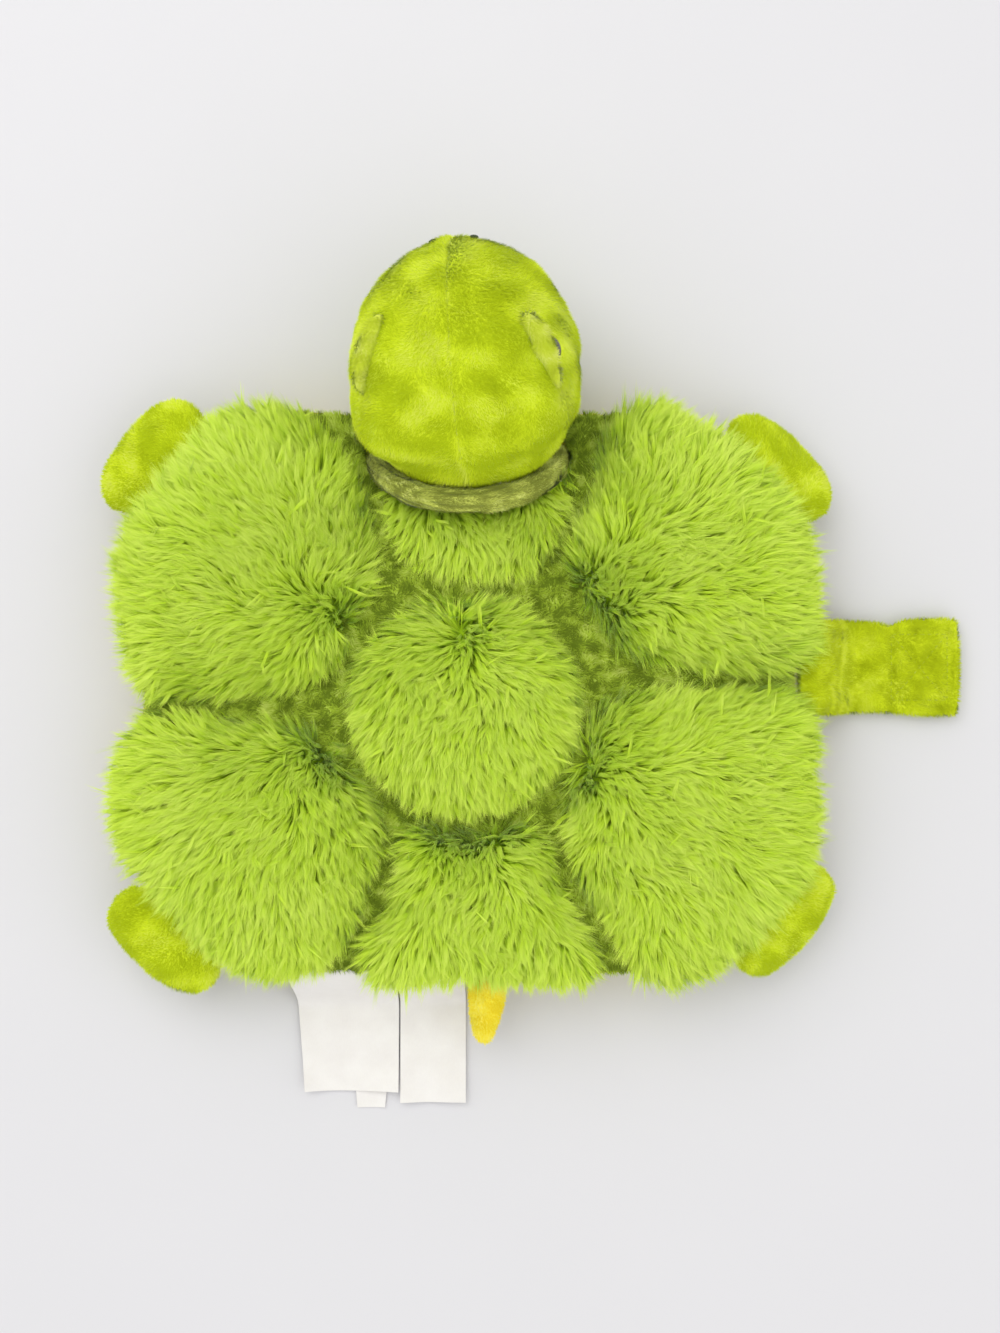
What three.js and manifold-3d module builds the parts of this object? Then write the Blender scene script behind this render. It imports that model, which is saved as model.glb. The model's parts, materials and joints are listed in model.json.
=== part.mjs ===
// A plush turtle pillow that lies flat, folds down along both sides of its shell and closes with a strap.
// Millimetres, +Z up. The origin is on the underside at the pillow's centre, and +Y runs towards the head.
import * as THREE from "three";
import { mergeVertices } from "three/addons/utils/BufferGeometryUtils.js";
import Module from "manifold-3d";

const wasm = await Module();
wasm.setup();

// Clearances
const seamGap = 0.3;
const turnGap = 0.9;
const overrun = 80;

// Pillow: outline to the seam, heights and cloth
const pillowHalfWidth = 132;
const pillowHalfLength = 108;
const seamHeight = 26;
const pillowCrown = 12;
const restCut = 0.5;
const coverThickness = 2.5;
const pillowTopFlatShare = 0.45;
const pillowBottomFlatShare = 0.7;

// Fold lines between the middle and the two wings
const foldOffset = 42;
const foldHeight = 32;
const foldAngle = 90;
const foldFloorRun = 3;
const foldSteps = 9;

// Fur patches: backing with its dense pile, and how far each cushion stands over the shell cloth
const pileThickness = 5;
const frontPatchRise = 11;
const centrePatchRise = 20;
const rearPatchRise = 14;
const cornerPatchRise = 18;
const domeFullness = 2.6;
const domeEdge = 0.55;

// Head, neck and collar, all about the head's pivot
const headPivotX = 0.8;
const headPivotY = 116;
const headPivotZ = 48;
const neckTilt = 35;
const headLean = 7.5;
const headRoll = -4;
const neckBallRadius = 42;
const headHalfWidth = 43.5;
const headFrontReach = 51;
const headRearReach = 43;
const headCrownHeight = 39;
const headChinDepth = 35;
const headCoverThickness = 2.5;
const headSwellFrom = 57;
const headSwellTo = 82;
const headRearPower = 2.7;
const headRearShare = 0.6;
const neckWall = 5;
const collarTube = 4.5;
const collarAngle = 45;
const collarSweep = 208;
const neckRimShare = 0.95;

// Eyes, washers, lids, mouth and nostrils
const eyeRadius = 5.2;
const eyeDome = 2.8;
const eyeShankRadius = 2;
const eyeShankLength = 9;
const eyeSeat = 0.4;
const eyeBearing = 86;
const eyeElevation = 34;
const washerRadius = 6;
const washerThickness = 1.4;
const lidTube = 3;
const lidPlaces = { left: [[52, 44], [77, 40], [101, 34]], right: [[61, 45], [85, 40], [107, 33]] };
const mouthThread = 0.8;
const mouthHalfAngle = 30;
const mouthElevation = -22;
const mouthLift = 7;
const nostrilRadius = 1.6;
const nostrilHeight = 1.2;
const nostrilBearing = 9;
const nostrilElevation = 10;

// Feet and tail
const footHalfWidth = 27;
const footReach = 22;
const footHalfThickness = 8.5;
const limbCoverThickness = 1.5;
const footPlaces = [
  { name: "foot_front_left", bearing: 142, asideShare: 0.12, droop: 16 },
  { name: "foot_front_right", bearing: 46, asideShare: -1, droop: 48 },
  { name: "foot_rear_left", bearing: 229, asideShare: -0.9, droop: 16 },
  { name: "foot_rear_right", bearing: -40, asideShare: 0.4, droop: 38 },
];
const tailHalfWidth = 8;
const tailReach = 25.5;
const tailHalfThickness = 5;
const tailX = 8.5;
const tailBearing = -94;
const tailDroop = 18;

// Strap with its hook pad, and the loop pad under the other wing
const strapLength = 62.5;
const strapHalfWidth = 17;
const strapEndHalfWidth = 18.5;
const strapHalfThickness = 2.3;
const strapY = 8.8;
const strapDropRun = 22;
const hookPadLength = 24;
const hookPadWidth = 30;
const padThickness = 1.6;
const loopPadWidth = 30;
const loopPadInner = 107;

// Sewn-in labels
const labelHalfThickness = 0.2;
const labelDropRun = 20;
const careLabelX = -47.6;
const careLabelLength = 50;
const careLabelHalfWidth = 20.7;
const careLabelEndHalfWidth = 18.6;
const careLabelDrift = 2;
const leafExtra = 7;
const leafHalfWidth = 11;
const leafX = -38;
const nameLabelX = -13.3;
const nameLabelLength = 55;
const nameLabelHalfWidth = 13;

// Facets of the round shapes
const rimSamples = 720;
const roundSides = 12;
const tubeSides = 8;
const threadSides = 6;
const collarSteps = 16;
const lidSteps = 10;
const mouthSteps = 14;
const limbSides = 10;
const dropSteps = 6;
const knuckleShares = [0.2, 0.6];
const weldDistance = 1e-4;

const cloths = {
  lime: { color: 0xc2d221, roughness: 0.85, metalness: 0 },
  fur: { color: 0xa3c23c, roughness: 0.95, metalness: 0 },
  olive: { color: 0x6f7c2c, roughness: 0.95, metalness: 0 },
  collar: { color: 0x949c41, roughness: 0.95, metalness: 0 },
  yellow: { color: 0xf0d83c, roughness: 0.85, metalness: 0 },
  stuffing: { color: 0xf4f2ec, roughness: 1, metalness: 0 },
  label: { color: 0xf2efe8, roughness: 0.5, metalness: 0 },
  eye: { color: 0x120f0e, roughness: 0.15, metalness: 0 },
  washer: { color: 0xe8e8e4, roughness: 0.5, metalness: 0 },
  thread: { color: 0x3a4a1c, roughness: 0.8, metalness: 0 },
  fastener: { color: 0xb4c42c, roughness: 0.9, metalness: 0 },
};

const radians = THREE.MathUtils.degToRad;
const turtle = new THREE.Group();

// A closed geometry as a solid that can be joined and cut.
function solidOf(geometry) {
  const bare = geometry.clone();
  bare.deleteAttribute("normal");
  bare.deleteAttribute("uv");
  const merged = mergeVertices(bare, weldDistance);
  const vertProperties = new Float32Array(merged.attributes.position.array);
  const triVerts = new Uint32Array(merged.index.array);
  return new wasm.Manifold(new wasm.Mesh({ numProp: 3, vertProperties, triVerts }));
}

// The largest body of a solid, without the crumbs that a cut may leave.
function largestOf(solid) {
  return solid.decompose().reduce((best, body) => (body.volume() > best.volume() ? body : best));
}

function addPart(name, solid, cloth, group = turtle) {
  const { vertProperties, triVerts } = largestOf(solid).getMesh();
  const geometry = new THREE.BufferGeometry();
  geometry.setAttribute("position", new THREE.BufferAttribute(vertProperties, 3));
  geometry.setIndex([...triVerts]);
  geometry.computeVertexNormals();
  const mesh = new THREE.Mesh(geometry, new THREE.MeshStandardMaterial(cloth));
  mesh.name = name;
  group.add(mesh);
}

// Joins rings of points into one closed skin, with a flat fan over the first and the last ring.
function skinOf(rings) {
  const sides = rings[0].length;
  const centres = [rings[0], rings.at(-1)].map((ring) =>
    ring.reduce((sum, p) => sum.add(p), new THREE.Vector3()).divideScalar(sides));
  const points = [...rings.flat(), ...centres];
  const first = rings.length * sides;
  const faces = [];
  for (let i = 0; i < sides; i++) {
    const j = (i + 1) % sides;
    for (let k = 0; k < rings.length - 1; k++) {
      const a = k * sides;
      const b = a + sides;
      faces.push(a + i, a + j, b + j, a + i, b + j, b + i);
    }
    const end = (rings.length - 1) * sides;
    faces.push(first, j, i, first + 1, end + i, end + j);
  }
  const geometry = new THREE.BufferGeometry().setFromPoints(points);
  geometry.setIndex(faces);
  return geometry;
}

function pillowPoint([x, y]) {
  return new THREE.Vector3(x * pillowHalfWidth, y * pillowHalfLength, 0);
}

// Points spaced evenly along a closed curve through share points, in the order of their bearings from a centre.
function outlineThrough(shares, centre, count) {
  const curve = new THREE.CatmullRomCurve3(shares.map(pillowPoint), true, "centripetal");
  const bearing = (p) => Math.atan2(p.y - centre.y, p.x - centre.x);
  return curve.getSpacedPoints(count).slice(1).sort((a, b) => bearing(a) - bearing(b));
}

// An outline about the origin, as its radius at any bearing.
function radiusThrough(shares) {
  const polar = outlineThrough(shares, new THREE.Vector3(), rimSamples / 3)
    .map((p) => [Math.atan2(p.y, p.x), p.length()]);
  return (bearing) => {
    const turn = Math.atan2(Math.sin(bearing), Math.cos(bearing));
    const next = polar.findIndex(([at]) => at > turn);
    const above = next < 0 ? [polar[0][0] + 2 * Math.PI, polar[0][1]] : polar[next];
    const before = polar.at(next < 0 ? -1 : next - 1);
    const below = next === 0 ? [before[0] - 2 * Math.PI, before[1]] : before;
    const part = (turn - below[0]) / Math.max(above[0] - below[0], Number.EPSILON);
    return below[1] + (above[1] - below[1]) * part;
  };
}

// The pillow's rim as its facets leave it.
function rimPoints() {
  const corners = Array.from({ length: pillowSpokes }, (_, i) => {
    const turn = (2 * Math.PI * i) / pillowSpokes;
    return new THREE.Vector3(Math.cos(turn), Math.sin(turn), 0).multiplyScalar(pillowRadius(turn));
  });
  const perFacet = rimSamples / pillowSpokes;
  return corners.flatMap((corner, i) => Array.from({ length: perFacet }, (_, k) =>
    corner.clone().lerp(corners[(i + 1) % pillowSpokes], k / perFacet)));
}

// A pivot past the pillow's furthest rim point within a half width of a line that way, with room for a root
// of some half thickness to turn about it.
function seatTowards(bearing, halfThickness, halfWidth, middle) {
  const outward = new THREE.Vector3(Math.cos(radians(bearing)), Math.sin(radians(bearing)), 0);
  const across = new THREE.Vector3(-outward.y, outward.x, 0);
  const rim = rimPoints()
    .filter((p) => p.dot(outward) > 0 && Math.abs(p.dot(across) - middle) < halfWidth);
  const furthest = rim.reduce((best, p) => (p.dot(outward) > best.dot(outward) ? p : best));
  return furthest.clone().addScaledVector(across, middle - furthest.dot(across))
    .addScaledVector(outward, halfThickness + seamGap);
}

// 1 on the flat, then down to 0 at the rim along a quarter of an ellipse.
function rollOff(reach, flatShare) {
  const edge = Math.max(0, (reach - flatShare) / (1 - flatShare));
  return Math.sqrt(Math.max(0, 1 - edge * edge));
}

const pillowShares = [
  [0.965, 0.05], [0.99, 0.33], [0.96, 0.57], [0.855, 0.78], [0.5, 0.985], [0, 0.95], [-0.58, 0.985], [-0.83, 0.77],
  [-0.965, 0.53], [-0.99, 0.27], [-0.94, -0.03], [-1.01, -0.42], [-0.86, -0.76], [-0.55, -0.985], [0, -1],
  [0.55, -1], [0.865, -0.79], [0.985, -0.42],
];
const pillowRadius = radiusThrough(pillowShares);
const pillowSpokes = 36;
const pillowRingShares = [0.02, 0.45, 0.7, 0.84, 0.94];
const liningRingShares = [0.02, 0.7, 0.9];

function pillowReach(x, y, inset) {
  return Math.min(1, Math.hypot(x, y) / (pillowRadius(Math.atan2(y, x)) - inset));
}

function pillowTopAt(x, y, inset = 0) {
  return seamHeight + (pillowCrown - inset) * rollOff(pillowReach(x, y, inset), pillowTopFlatShare);
}

function pillowBottomAt(x, y, inset = 0) {
  const depth = seamHeight + restCut - inset;
  const roll = rollOff(pillowReach(x, y, inset), pillowBottomFlatShare);
  return seamHeight - Math.min(seamHeight - inset, depth * roll);
}

// The pillow's whole shape, drawn in on every side by the inset.
function pillowSolid(inset = 0, ringShares = pillowRingShares) {
  const ringAt = (share, heightAt) => Array.from({ length: pillowSpokes }, (_, i) => {
    const bearing = (2 * Math.PI * i) / pillowSpokes;
    const radius = (pillowRadius(bearing) - inset) * share;
    const x = radius * Math.cos(bearing);
    const y = radius * Math.sin(bearing);
    return new THREE.Vector3(x, y, heightAt(x, y, inset));
  });
  const under = ringShares.map((share) => ringAt(share, pillowBottomAt));
  const over = ringShares.map((share) => ringAt(share, pillowTopAt));
  const rim = ringAt(1, () => seamHeight);
  return solidOf(skinOf([...under, rim, ...over.reverse()]));
}

// A block over the whole length, drawn in the XZ plane.
function lengthwiseBlock(corners) {
  const shape = new THREE.Shape(corners.map(([x, z]) => new THREE.Vector2(x, z)));
  const length = 2 * (pillowHalfLength + overrun);
  const block = new THREE.ExtrudeGeometry(shape, { depth: length, bevelEnabled: false });
  return solidOf(block.translate(0, 0, -length / 2).rotateX(Math.PI / 2));
}

const foldHalfAngle = radians(foldAngle / 2);
const foldRun = (foldHeight + foldFloorRun) * Math.tan(foldHalfAngle);
const slit = seamGap / 2;

// The space of each body: the middle, then one wing, then the gusset that closes up under a fold line.
function middleSpace() {
  const x = foldOffset - slit;
  return lengthwiseBlock([
    [-x, overrun], [-x, foldHeight], [foldRun - x, -foldFloorRun],
    [x - foldRun, -foldFloorRun], [x, foldHeight], [x, overrun],
  ]);
}

function wingSpace(side) {
  const x = foldOffset + slit;
  const far = pillowHalfWidth + overrun;
  return lengthwiseBlock([
    [x, overrun], [x, foldHeight], [x + foldRun, -foldFloorRun], [far, -foldFloorRun], [far, overrun],
  ].map(([at, z]) => [side * at, z]));
}

function gussetSpace(side) {
  const apex = foldHeight - seamGap / Math.sin(foldHalfAngle);
  const run = (apex + foldFloorRun) * Math.tan(foldHalfAngle);
  return lengthwiseBlock([
    [foldOffset, apex], [foldOffset + run, -foldFloorRun], [foldOffset - run, -foldFloorRun],
  ].map(([at, z]) => [side * at, z]));
}

const headPivot = new THREE.Vector3(headPivotX, headPivotY, headPivotZ);
const neckAxis = new THREE.Vector3(0, Math.cos(radians(neckTilt)), Math.sin(radians(neckTilt)));
const neckUp = new THREE.Vector3(0, -neckAxis.z, neckAxis.y);
const neckTurn = new THREE.Quaternion().setFromUnitVectors(new THREE.Vector3(0, 1, 0), neckAxis);
const collarReach = neckBallRadius + turnGap + collarTube;
const collarRadius = collarReach * Math.sin(radians(collarAngle));
const collarBack = collarReach * Math.cos(radians(collarAngle));
const neckOuterRadius = neckBallRadius + turnGap + neckWall;
const ballSpokes = 20;
const ballRings = 12;

// A ball with its poles on the neck's axis, pushed out to a radius for each direction.
function ballOf(radiusAt, fineness = 1) {
  const ball = new THREE.SphereGeometry(1, ballSpokes * fineness, ballRings * fineness);
  ball.applyQuaternion(neckTurn);
  ball.deleteAttribute("normal");
  ball.deleteAttribute("uv");
  const merged = mergeVertices(ball, weldDistance);
  const position = merged.attributes.position;
  const direction = new THREE.Vector3();
  for (let i = 0; i < position.count; i++) {
    direction.fromBufferAttribute(position, i).normalize();
    direction.multiplyScalar(radiusAt(direction));
    position.setXYZ(i, direction.x, direction.y, direction.z);
  }
  return merged;
}

// The room that the neck and the collar turn in, cut out of the pillow's front.
function neckRoom() {
  const bite = ballOf(() => neckOuterRadius + turnGap).translate(...headPivot);
  const groove = new THREE.TorusGeometry(collarRadius, collarTube + turnGap, tubeSides, 2 * collarSteps);
  groove.rotateX(Math.PI / 2).applyQuaternion(neckTurn);
  groove.translate(...headPivot.clone().addScaledVector(neckAxis, -collarBack));
  return solidOf(bite).add(solidOf(groove));
}

const room = neckRoom();

// The neck's room as a wing meets it at each step of its fold.
function roomThroughFold(side) {
  const steps = Array.from({ length: foldSteps + 1 }, (_, i) => (-side * foldAngle * i) / foldSteps);
  return steps.map((turn) => room.translate([-side * foldOffset, 0, -foldHeight]).rotate([0, turn, 0])
    .translate([side * foldOffset, 0, foldHeight])).reduce((all, one) => all.add(one));
}

const cornerShares = {
  fur_front_left: [
    [-0.6, 0.94], [-0.455, 0.92], [-0.36, 0.81], [-0.31, 0.7], [-0.26, 0.45], [-0.29, 0.29],
    [-0.4, 0.06], [-0.52, 0.01], [-0.88, 0.02], [-0.925, 0.2], [-0.95, 0.4], [-0.91, 0.57],
    [-0.81, 0.74], [-0.71, 0.88],
  ],
  fur_front_right: [
    [0.5, 0.955], [0.65, 0.88], [0.77, 0.79], [0.88, 0.65], [0.94, 0.5], [0.955, 0.3], [0.935, 0.11],
    [0.65, 0.09], [0.46, 0.15], [0.4, 0.23], [0.31, 0.38], [0.3, 0.47], [0.37, 0.67], [0.415, 0.87],
  ],
  fur_rear_left: [
    [-0.885, -0.12], [-0.62, -0.12], [-0.43, -0.14], [-0.36, -0.23], [-0.26, -0.4], [-0.24, -0.5],
    [-0.29, -0.67], [-0.36, -0.87], [-0.47, -0.94], [-0.61, -0.925], [-0.74, -0.83], [-0.86, -0.66],
    [-0.94, -0.52], [-0.96, -0.34],
  ],
  fur_rear_right: [
    [0.41, -0.04], [0.66, -0.01], [0.92, -0.04], [0.945, -0.16], [0.955, -0.38], [0.95, -0.57],
    [0.885, -0.7], [0.76, -0.86], [0.63, -0.955], [0.52, -0.96], [0.46, -0.87], [0.34, -0.65],
    [0.295, -0.46], [0.31, -0.25], [0.36, -0.1],
  ],
};
const frontShares = [
  [-0.23, 0.67], [-0.17, 0.49], [-0.08, 0.425], [0.045, 0.4], [0.19, 0.42], [0.235, 0.49], [0.28, 0.63],
  [0.32, 0.8], [0.3, 0.9], [0.1, 0.9], [-0.1, 0.88], [-0.22, 0.8],
];
const rearShares = [
  [-0.16, -0.475], [0.015, -0.5], [0.195, -0.475], [0.235, -0.59], [0.315, -0.82], [0.36, -0.945],
  [0.21, -0.96], [-0.04, -0.96], [-0.26, -0.945], [-0.2, -0.73], [-0.165, -0.56],
];
const centreCorners = 10;
const centreShares = Array.from({ length: centreCorners }, (_, i) => {
  const [widthShare, lengthShare, backShare] = [0.315, 0.365, -0.05];
  const bearing = (2 * Math.PI * i) / centreCorners;
  return [widthShare * Math.cos(bearing), backShare + lengthShare * Math.sin(bearing)];
});
const patches = [
  { name: "fur_front", space: "centre", rise: frontPatchRise, centreShare: [0.04, 0.66], shares: frontShares },
  { name: "fur_centre", space: "centre", rise: centrePatchRise, centreShare: [0, -0.05], shares: centreShares },
  { name: "fur_rear", space: "centre", rise: rearPatchRise, centreShare: [0.03, -0.74], shares: rearShares },
  ...Object.entries(cornerShares).map(([name, shares]) => {
    const side = name.endsWith("left") ? -1 : 1;
    const end = name.includes("front") ? 1 : -1;
    const centreShare = [0.64 * side, 0.52 * end];
    return { name, space: side < 0 ? "left" : "right", rise: cornerPatchRise, centreShare, shares };
  }),
];
const lobeSides = 20;
const lobeRingShares = [0.05, 0.55, 0.86, 1];
const hollowRingShares = [0.05, 0.75, 1];

// One cushion of the shell: an upright column under a dome that follows the pillow's top.
function lobeSolid({ centreShare, shares, rise }, inset = 0, ringShares = lobeRingShares) {
  const centre = pillowPoint(centreShare);
  const outline = outlineThrough(shares, centre, lobeSides);
  const ringAt = (share, heightAt) => outline.map((rim) => {
    const { x, y } = centre.clone().lerp(rim, share * (1 - inset / rim.distanceTo(centre)));
    return new THREE.Vector3(x, y, heightAt(x, y));
  });
  const foot = ringAt(1, () => seamHeight - pileThickness);
  const dome = ringShares.map((share) => {
    const swell = (1 - share ** domeFullness) ** domeEdge;
    return ringAt(share, (x, y) => pillowTopAt(x, y) + rise * swell - inset);
  });
  return solidOf(skinOf([foot, ...dome.reverse()]));
}

// Covers, stuffing and fur cushions of the pillow, cut into the middle and the wings.
function addPillow() {
  const outer = pillowSolid();
  const lining = pillowSolid(coverThickness, liningRingShares);
  const core = pillowSolid(coverThickness + seamGap, liningRingShares);
  const proud = pillowSolid(-seamGap);
  const wide = 2 * (pillowHalfWidth + overrun);
  const half = (up) => solidOf(new THREE.BoxGeometry(wide, wide, overrun)
    .translate(0, 0, seamHeight + up * (overrun + seamGap) / 2));
  const upper = half(1);
  const belly = outer.subtract(lining).intersect(half(-1));
  const shell = outer.subtract(lining).intersect(upper);
  const spaces = {
    left: [wingSpace(-1), roomThroughFold(-1)],
    centre: [middleSpace(), room],
    right: [wingSpace(1), roomThroughFold(1)],
  };
  for (const [side, [space, kept]] of Object.entries(spaces)) {
    let base = shell.intersect(space);
    let stuffing = core.intersect(space);
    for (const patch of patches.filter((p) => p.space === side)) {
      const hollow = lobeSolid(patch, pileThickness, hollowRingShares);
      const fill = lobeSolid(patch, pileThickness + seamGap, hollowRingShares).intersect(upper);
      base = base.subtract(hollow);
      stuffing = stuffing.add(fill.intersect(space)).add(fill.subtract(proud));
      const cushion = lobeSolid(patch).intersect(upper);
      addPart(patch.name, cushion.subtract(hollow).subtract(proud).subtract(kept), cloths.fur);
    }
    addPart(`belly_${side}`, belly.intersect(space).subtract(kept), cloths.yellow);
    addPart(`shell_base_${side}`, base.subtract(kept), cloths.olive);
    addPart(`stuffing_${side}`, stuffing.subtract(kept), cloths.stuffing);
  }
  addPart("fold_gusset_left", outer.intersect(gussetSpace(-1)).subtract(room), cloths.yellow);
  addPart("fold_gusset_right", outer.intersect(gussetSpace(1)).subtract(room), cloths.yellow);
}

// A tube of round section along a curve, closed flat at both ends.
function tubeAlong(curve, radius, sides, steps) {
  const section = new THREE.Shape(Array.from({ length: sides }, (_, i) => {
    const turn = (2 * Math.PI * i) / sides;
    return new THREE.Vector2(radius * Math.cos(turn), radius * Math.sin(turn));
  }));
  return solidOf(new THREE.ExtrudeGeometry(section, { steps, extrudePath: curve, bevelEnabled: false }));
}

// The padded cup that carries the head, and the rolled collar behind it.
function addNeck() {
  const outer = solidOf(ballOf(() => neckOuterRadius));
  const inner = solidOf(ballOf(() => neckBallRadius + turnGap));
  const rim = collarBack + neckRimShare * collarTube;
  const keep = new THREE.CylinderGeometry(overrun, overrun, overrun, ballSpokes);
  keep.translate(0, -rim - overrun / 2, 0).applyQuaternion(neckTurn);
  const neck = new THREE.Group();
  neck.position.copy(headPivot);
  addPart("neck", outer.subtract(inner).intersect(solidOf(keep)), cloths.lime, neck);
  const arc = new THREE.Curve();
  arc.getPoint = (t, target = new THREE.Vector3()) => {
    const turn = radians(collarSweep) * (t - 1 / 2);
    return target.set(collarRadius * Math.sin(turn), 0, 0)
      .addScaledVector(neckUp, collarRadius * Math.cos(turn)).addScaledVector(neckAxis, -collarBack);
  };
  addPart("collar", tubeAlong(arc, collarTube, tubeSides, collarSteps), cloths.collar, neck);
  turtle.add(neck);
}

// How far the head reaches from its pivot: a ball at the neck that swells into cheeks, crown and snout.
function headRadius(direction) {
  const { x, y, z } = direction;
  const fromNeck = THREE.MathUtils.radToDeg(Math.acos(THREE.MathUtils.clamp(-direction.dot(neckAxis), -1, 1)));
  const length = y > 0 ? headFrontReach : headRearReach;
  const height = z > 0 ? headCrownHeight : headChinDepth;
  const squareness = THREE.MathUtils.smoothstep(-y, 0, headRearShare);
  const power = THREE.MathUtils.lerp(2, headRearPower, squareness);
  const shares = [x / headHalfWidth, y / length, z / height].map((share) => Math.abs(share) ** power);
  const swollen = (shares[0] + shares[1] + shares[2]) ** (-1 / power);
  const blend = THREE.MathUtils.smoothstep(fromNeck, headSwellFrom, headSwellTo);
  return THREE.MathUtils.lerp(neckBallRadius, swollen, blend);
}

function headDirection(bearing, elevation) {
  const level = Math.cos(radians(elevation));
  return new THREE.Vector3(
    Math.sin(radians(bearing)) * level, Math.cos(radians(bearing)) * level, Math.sin(radians(elevation)));
}

// A point over the head's surface, and the surface's normal there.
function onHead(direction, lift) {
  const at = (d) => d.clone().normalize().multiplyScalar(headRadius(d.clone().normalize()));
  const across = new THREE.Vector3(0, 0, 1).cross(direction).normalize();
  const along = direction.clone().cross(across).normalize();
  const step = 1e-3;
  const point = at(direction);
  const sideways = at(direction.clone().addScaledVector(across, step)).sub(point);
  const upwards = at(direction.clone().addScaledVector(along, step)).sub(point);
  const normal = sideways.cross(upwards).normalize();
  if (normal.dot(direction) < 0) normal.negate();
  return { point: point.addScaledVector(normal, lift), normal };
}

// Stands a shape made along +Y on the head, along the normal there.
function placedOnHead(geometry, bearing, elevation, lift) {
  const { point, normal } = onHead(headDirection(bearing, elevation), lift);
  const turn = new THREE.Quaternion().setFromUnitVectors(new THREE.Vector3(0, 1, 0), normal);
  return solidOf(geometry.applyQuaternion(turn).translate(...point));
}

function cylinderOf(radius, height) {
  return new THREE.CylinderGeometry(radius, radius, height, roundSides);
}

// A turned shape from a profile that starts and ends on its axis.
function turned(profile, sides) {
  return new THREE.LatheGeometry(profile.map(([r, y]) => new THREE.Vector2(r, y)), sides);
}

function domeProfile(radius, height, steps) {
  return Array.from({ length: steps }, (_, i) => {
    const turn = (Math.PI / 2) * (i / steps);
    return [radius * Math.cos(turn), height * Math.sin(turn)];
  });
}

function eyeShape(grown = 0) {
  const shank = eyeShankRadius + grown;
  return turned([
    [0, -eyeShankLength], [shank, -eyeShankLength], [shank, -grown],
    ...domeProfile(eyeRadius + grown, eyeDome + grown, 4), [0, eyeDome + grown],
  ], roundSides);
}

function washerShape() {
  const hole = eyeShankRadius + seamGap;
  return turned([
    [hole, 0], [washerRadius, 0], [washerRadius, washerThickness], [hole, washerThickness], [hole, 0],
  ], roundSides);
}

function lidCurve(side, word) {
  const places = lidPlaces[word].map(([bearing, elevation]) => headDirection(side * bearing, elevation));
  const guide = new THREE.CatmullRomCurve3(places);
  const curve = new THREE.Curve();
  curve.getPoint = (t, target = new THREE.Vector3()) =>
    target.copy(onHead(guide.getPoint(t).normalize(), lidTube / 2).point);
  return curve;
}

function mouthCurve() {
  const curve = new THREE.Curve();
  curve.getPoint = (t, target = new THREE.Vector3()) => {
    const swing = 2 * t - 1;
    const toward = headDirection(mouthHalfAngle * swing, mouthElevation + mouthLift * swing * swing);
    return target.copy(onHead(toward, seamGap / 2).point);
  };
  return curve;
}

// The head's two cover panels over their stuffing, with the eyes fixed through the cover by washers.
function addHead() {
  const head = new THREE.Group();
  head.position.copy(headPivot);
  head.quaternion.setFromAxisAngle(neckUp, radians(headLean))
    .multiply(new THREE.Quaternion().setFromAxisAngle(neckAxis, radians(headRoll)));
  const inset = (depth, fineness) => solidOf(ballOf((direction) => headRadius(direction) - depth, fineness));
  let cover = inset(0, 1).subtract(inset(headCoverThickness, 1 / 2));
  let stuffing = inset(headCoverThickness + seamGap, 1 / 2);
  const proud = inset(-seamGap, 1);
  const washerFrom = -(headCoverThickness + seamGap + washerThickness);
  const recessDepth = eyeShankLength - headCoverThickness;
  for (const [side, word] of [[-1, "left"], [1, "right"]]) {
    const shankHole = cylinderOf(eyeShankRadius + seamGap, 2 * eyeShankLength);
    const recess = cylinderOf(washerRadius + seamGap, recessDepth)
      .translate(0, -headCoverThickness - recessDepth / 2, 0);
    const hole = placedOnHead(shankHole, side * eyeBearing, eyeElevation, 0);
    const pocket = placedOnHead(recess, side * eyeBearing, eyeElevation, 0);
    cover = cover.subtract(hole).subtract(pocket);
    stuffing = stuffing.subtract(pocket);
    const eye = placedOnHead(eyeShape(), side * eyeBearing, eyeElevation, eyeSeat);
    addPart(`eye_${word}`, eye, cloths.eye, head);
    const washer = placedOnHead(washerShape(), side * eyeBearing, eyeElevation, washerFrom);
    addPart(`eye_washer_${word}`, washer, cloths.washer, head);
    const eyeRoom = placedOnHead(eyeShape(seamGap), side * eyeBearing, eyeElevation, eyeSeat);
    const lid = tubeAlong(lidCurve(side, word), lidTube, threadSides, lidSteps);
    addPart(`eyelid_${word}`, lid.subtract(proud).subtract(eyeRoom), cloths.lime, head);
    const knot = turned([[0, 0], ...domeProfile(nostrilRadius, nostrilHeight, 2), [0, nostrilHeight]], tubeSides);
    const nostril = placedOnHead(knot, side * nostrilBearing, nostrilElevation, -nostrilHeight);
    addPart(`nostril_${word}`, nostril.subtract(proud), cloths.thread, head);
    const panel = new THREE.BoxGeometry(2 * overrun, 4 * overrun, 4 * overrun);
    panel.translate(side * (overrun + slit), 0, 0);
    addPart(`head_${word}`, cover.intersect(solidOf(panel)), cloths.lime, head);
  }
  addPart("head_stuffing", stuffing, cloths.stuffing, head);
  const mouth = tubeAlong(mouthCurve(), mouthThread, threadSides, mouthSteps);
  addPart("mouth_stitch", mouth.subtract(proud), cloths.thread, head);
  turtle.add(head);
}

function rootThickness({ halfThickness, stationShares }) {
  return halfThickness * stationShares[0][2];
}

// A limb's section across +X.
function limbRing(x, halfWidth, halfThickness) {
  return Array.from({ length: limbSides }, (_, i) => {
    const turn = (2 * Math.PI * i) / limbSides;
    return new THREE.Vector3(x, halfWidth * Math.cos(turn), halfThickness * Math.sin(turn));
  });
}

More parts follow.
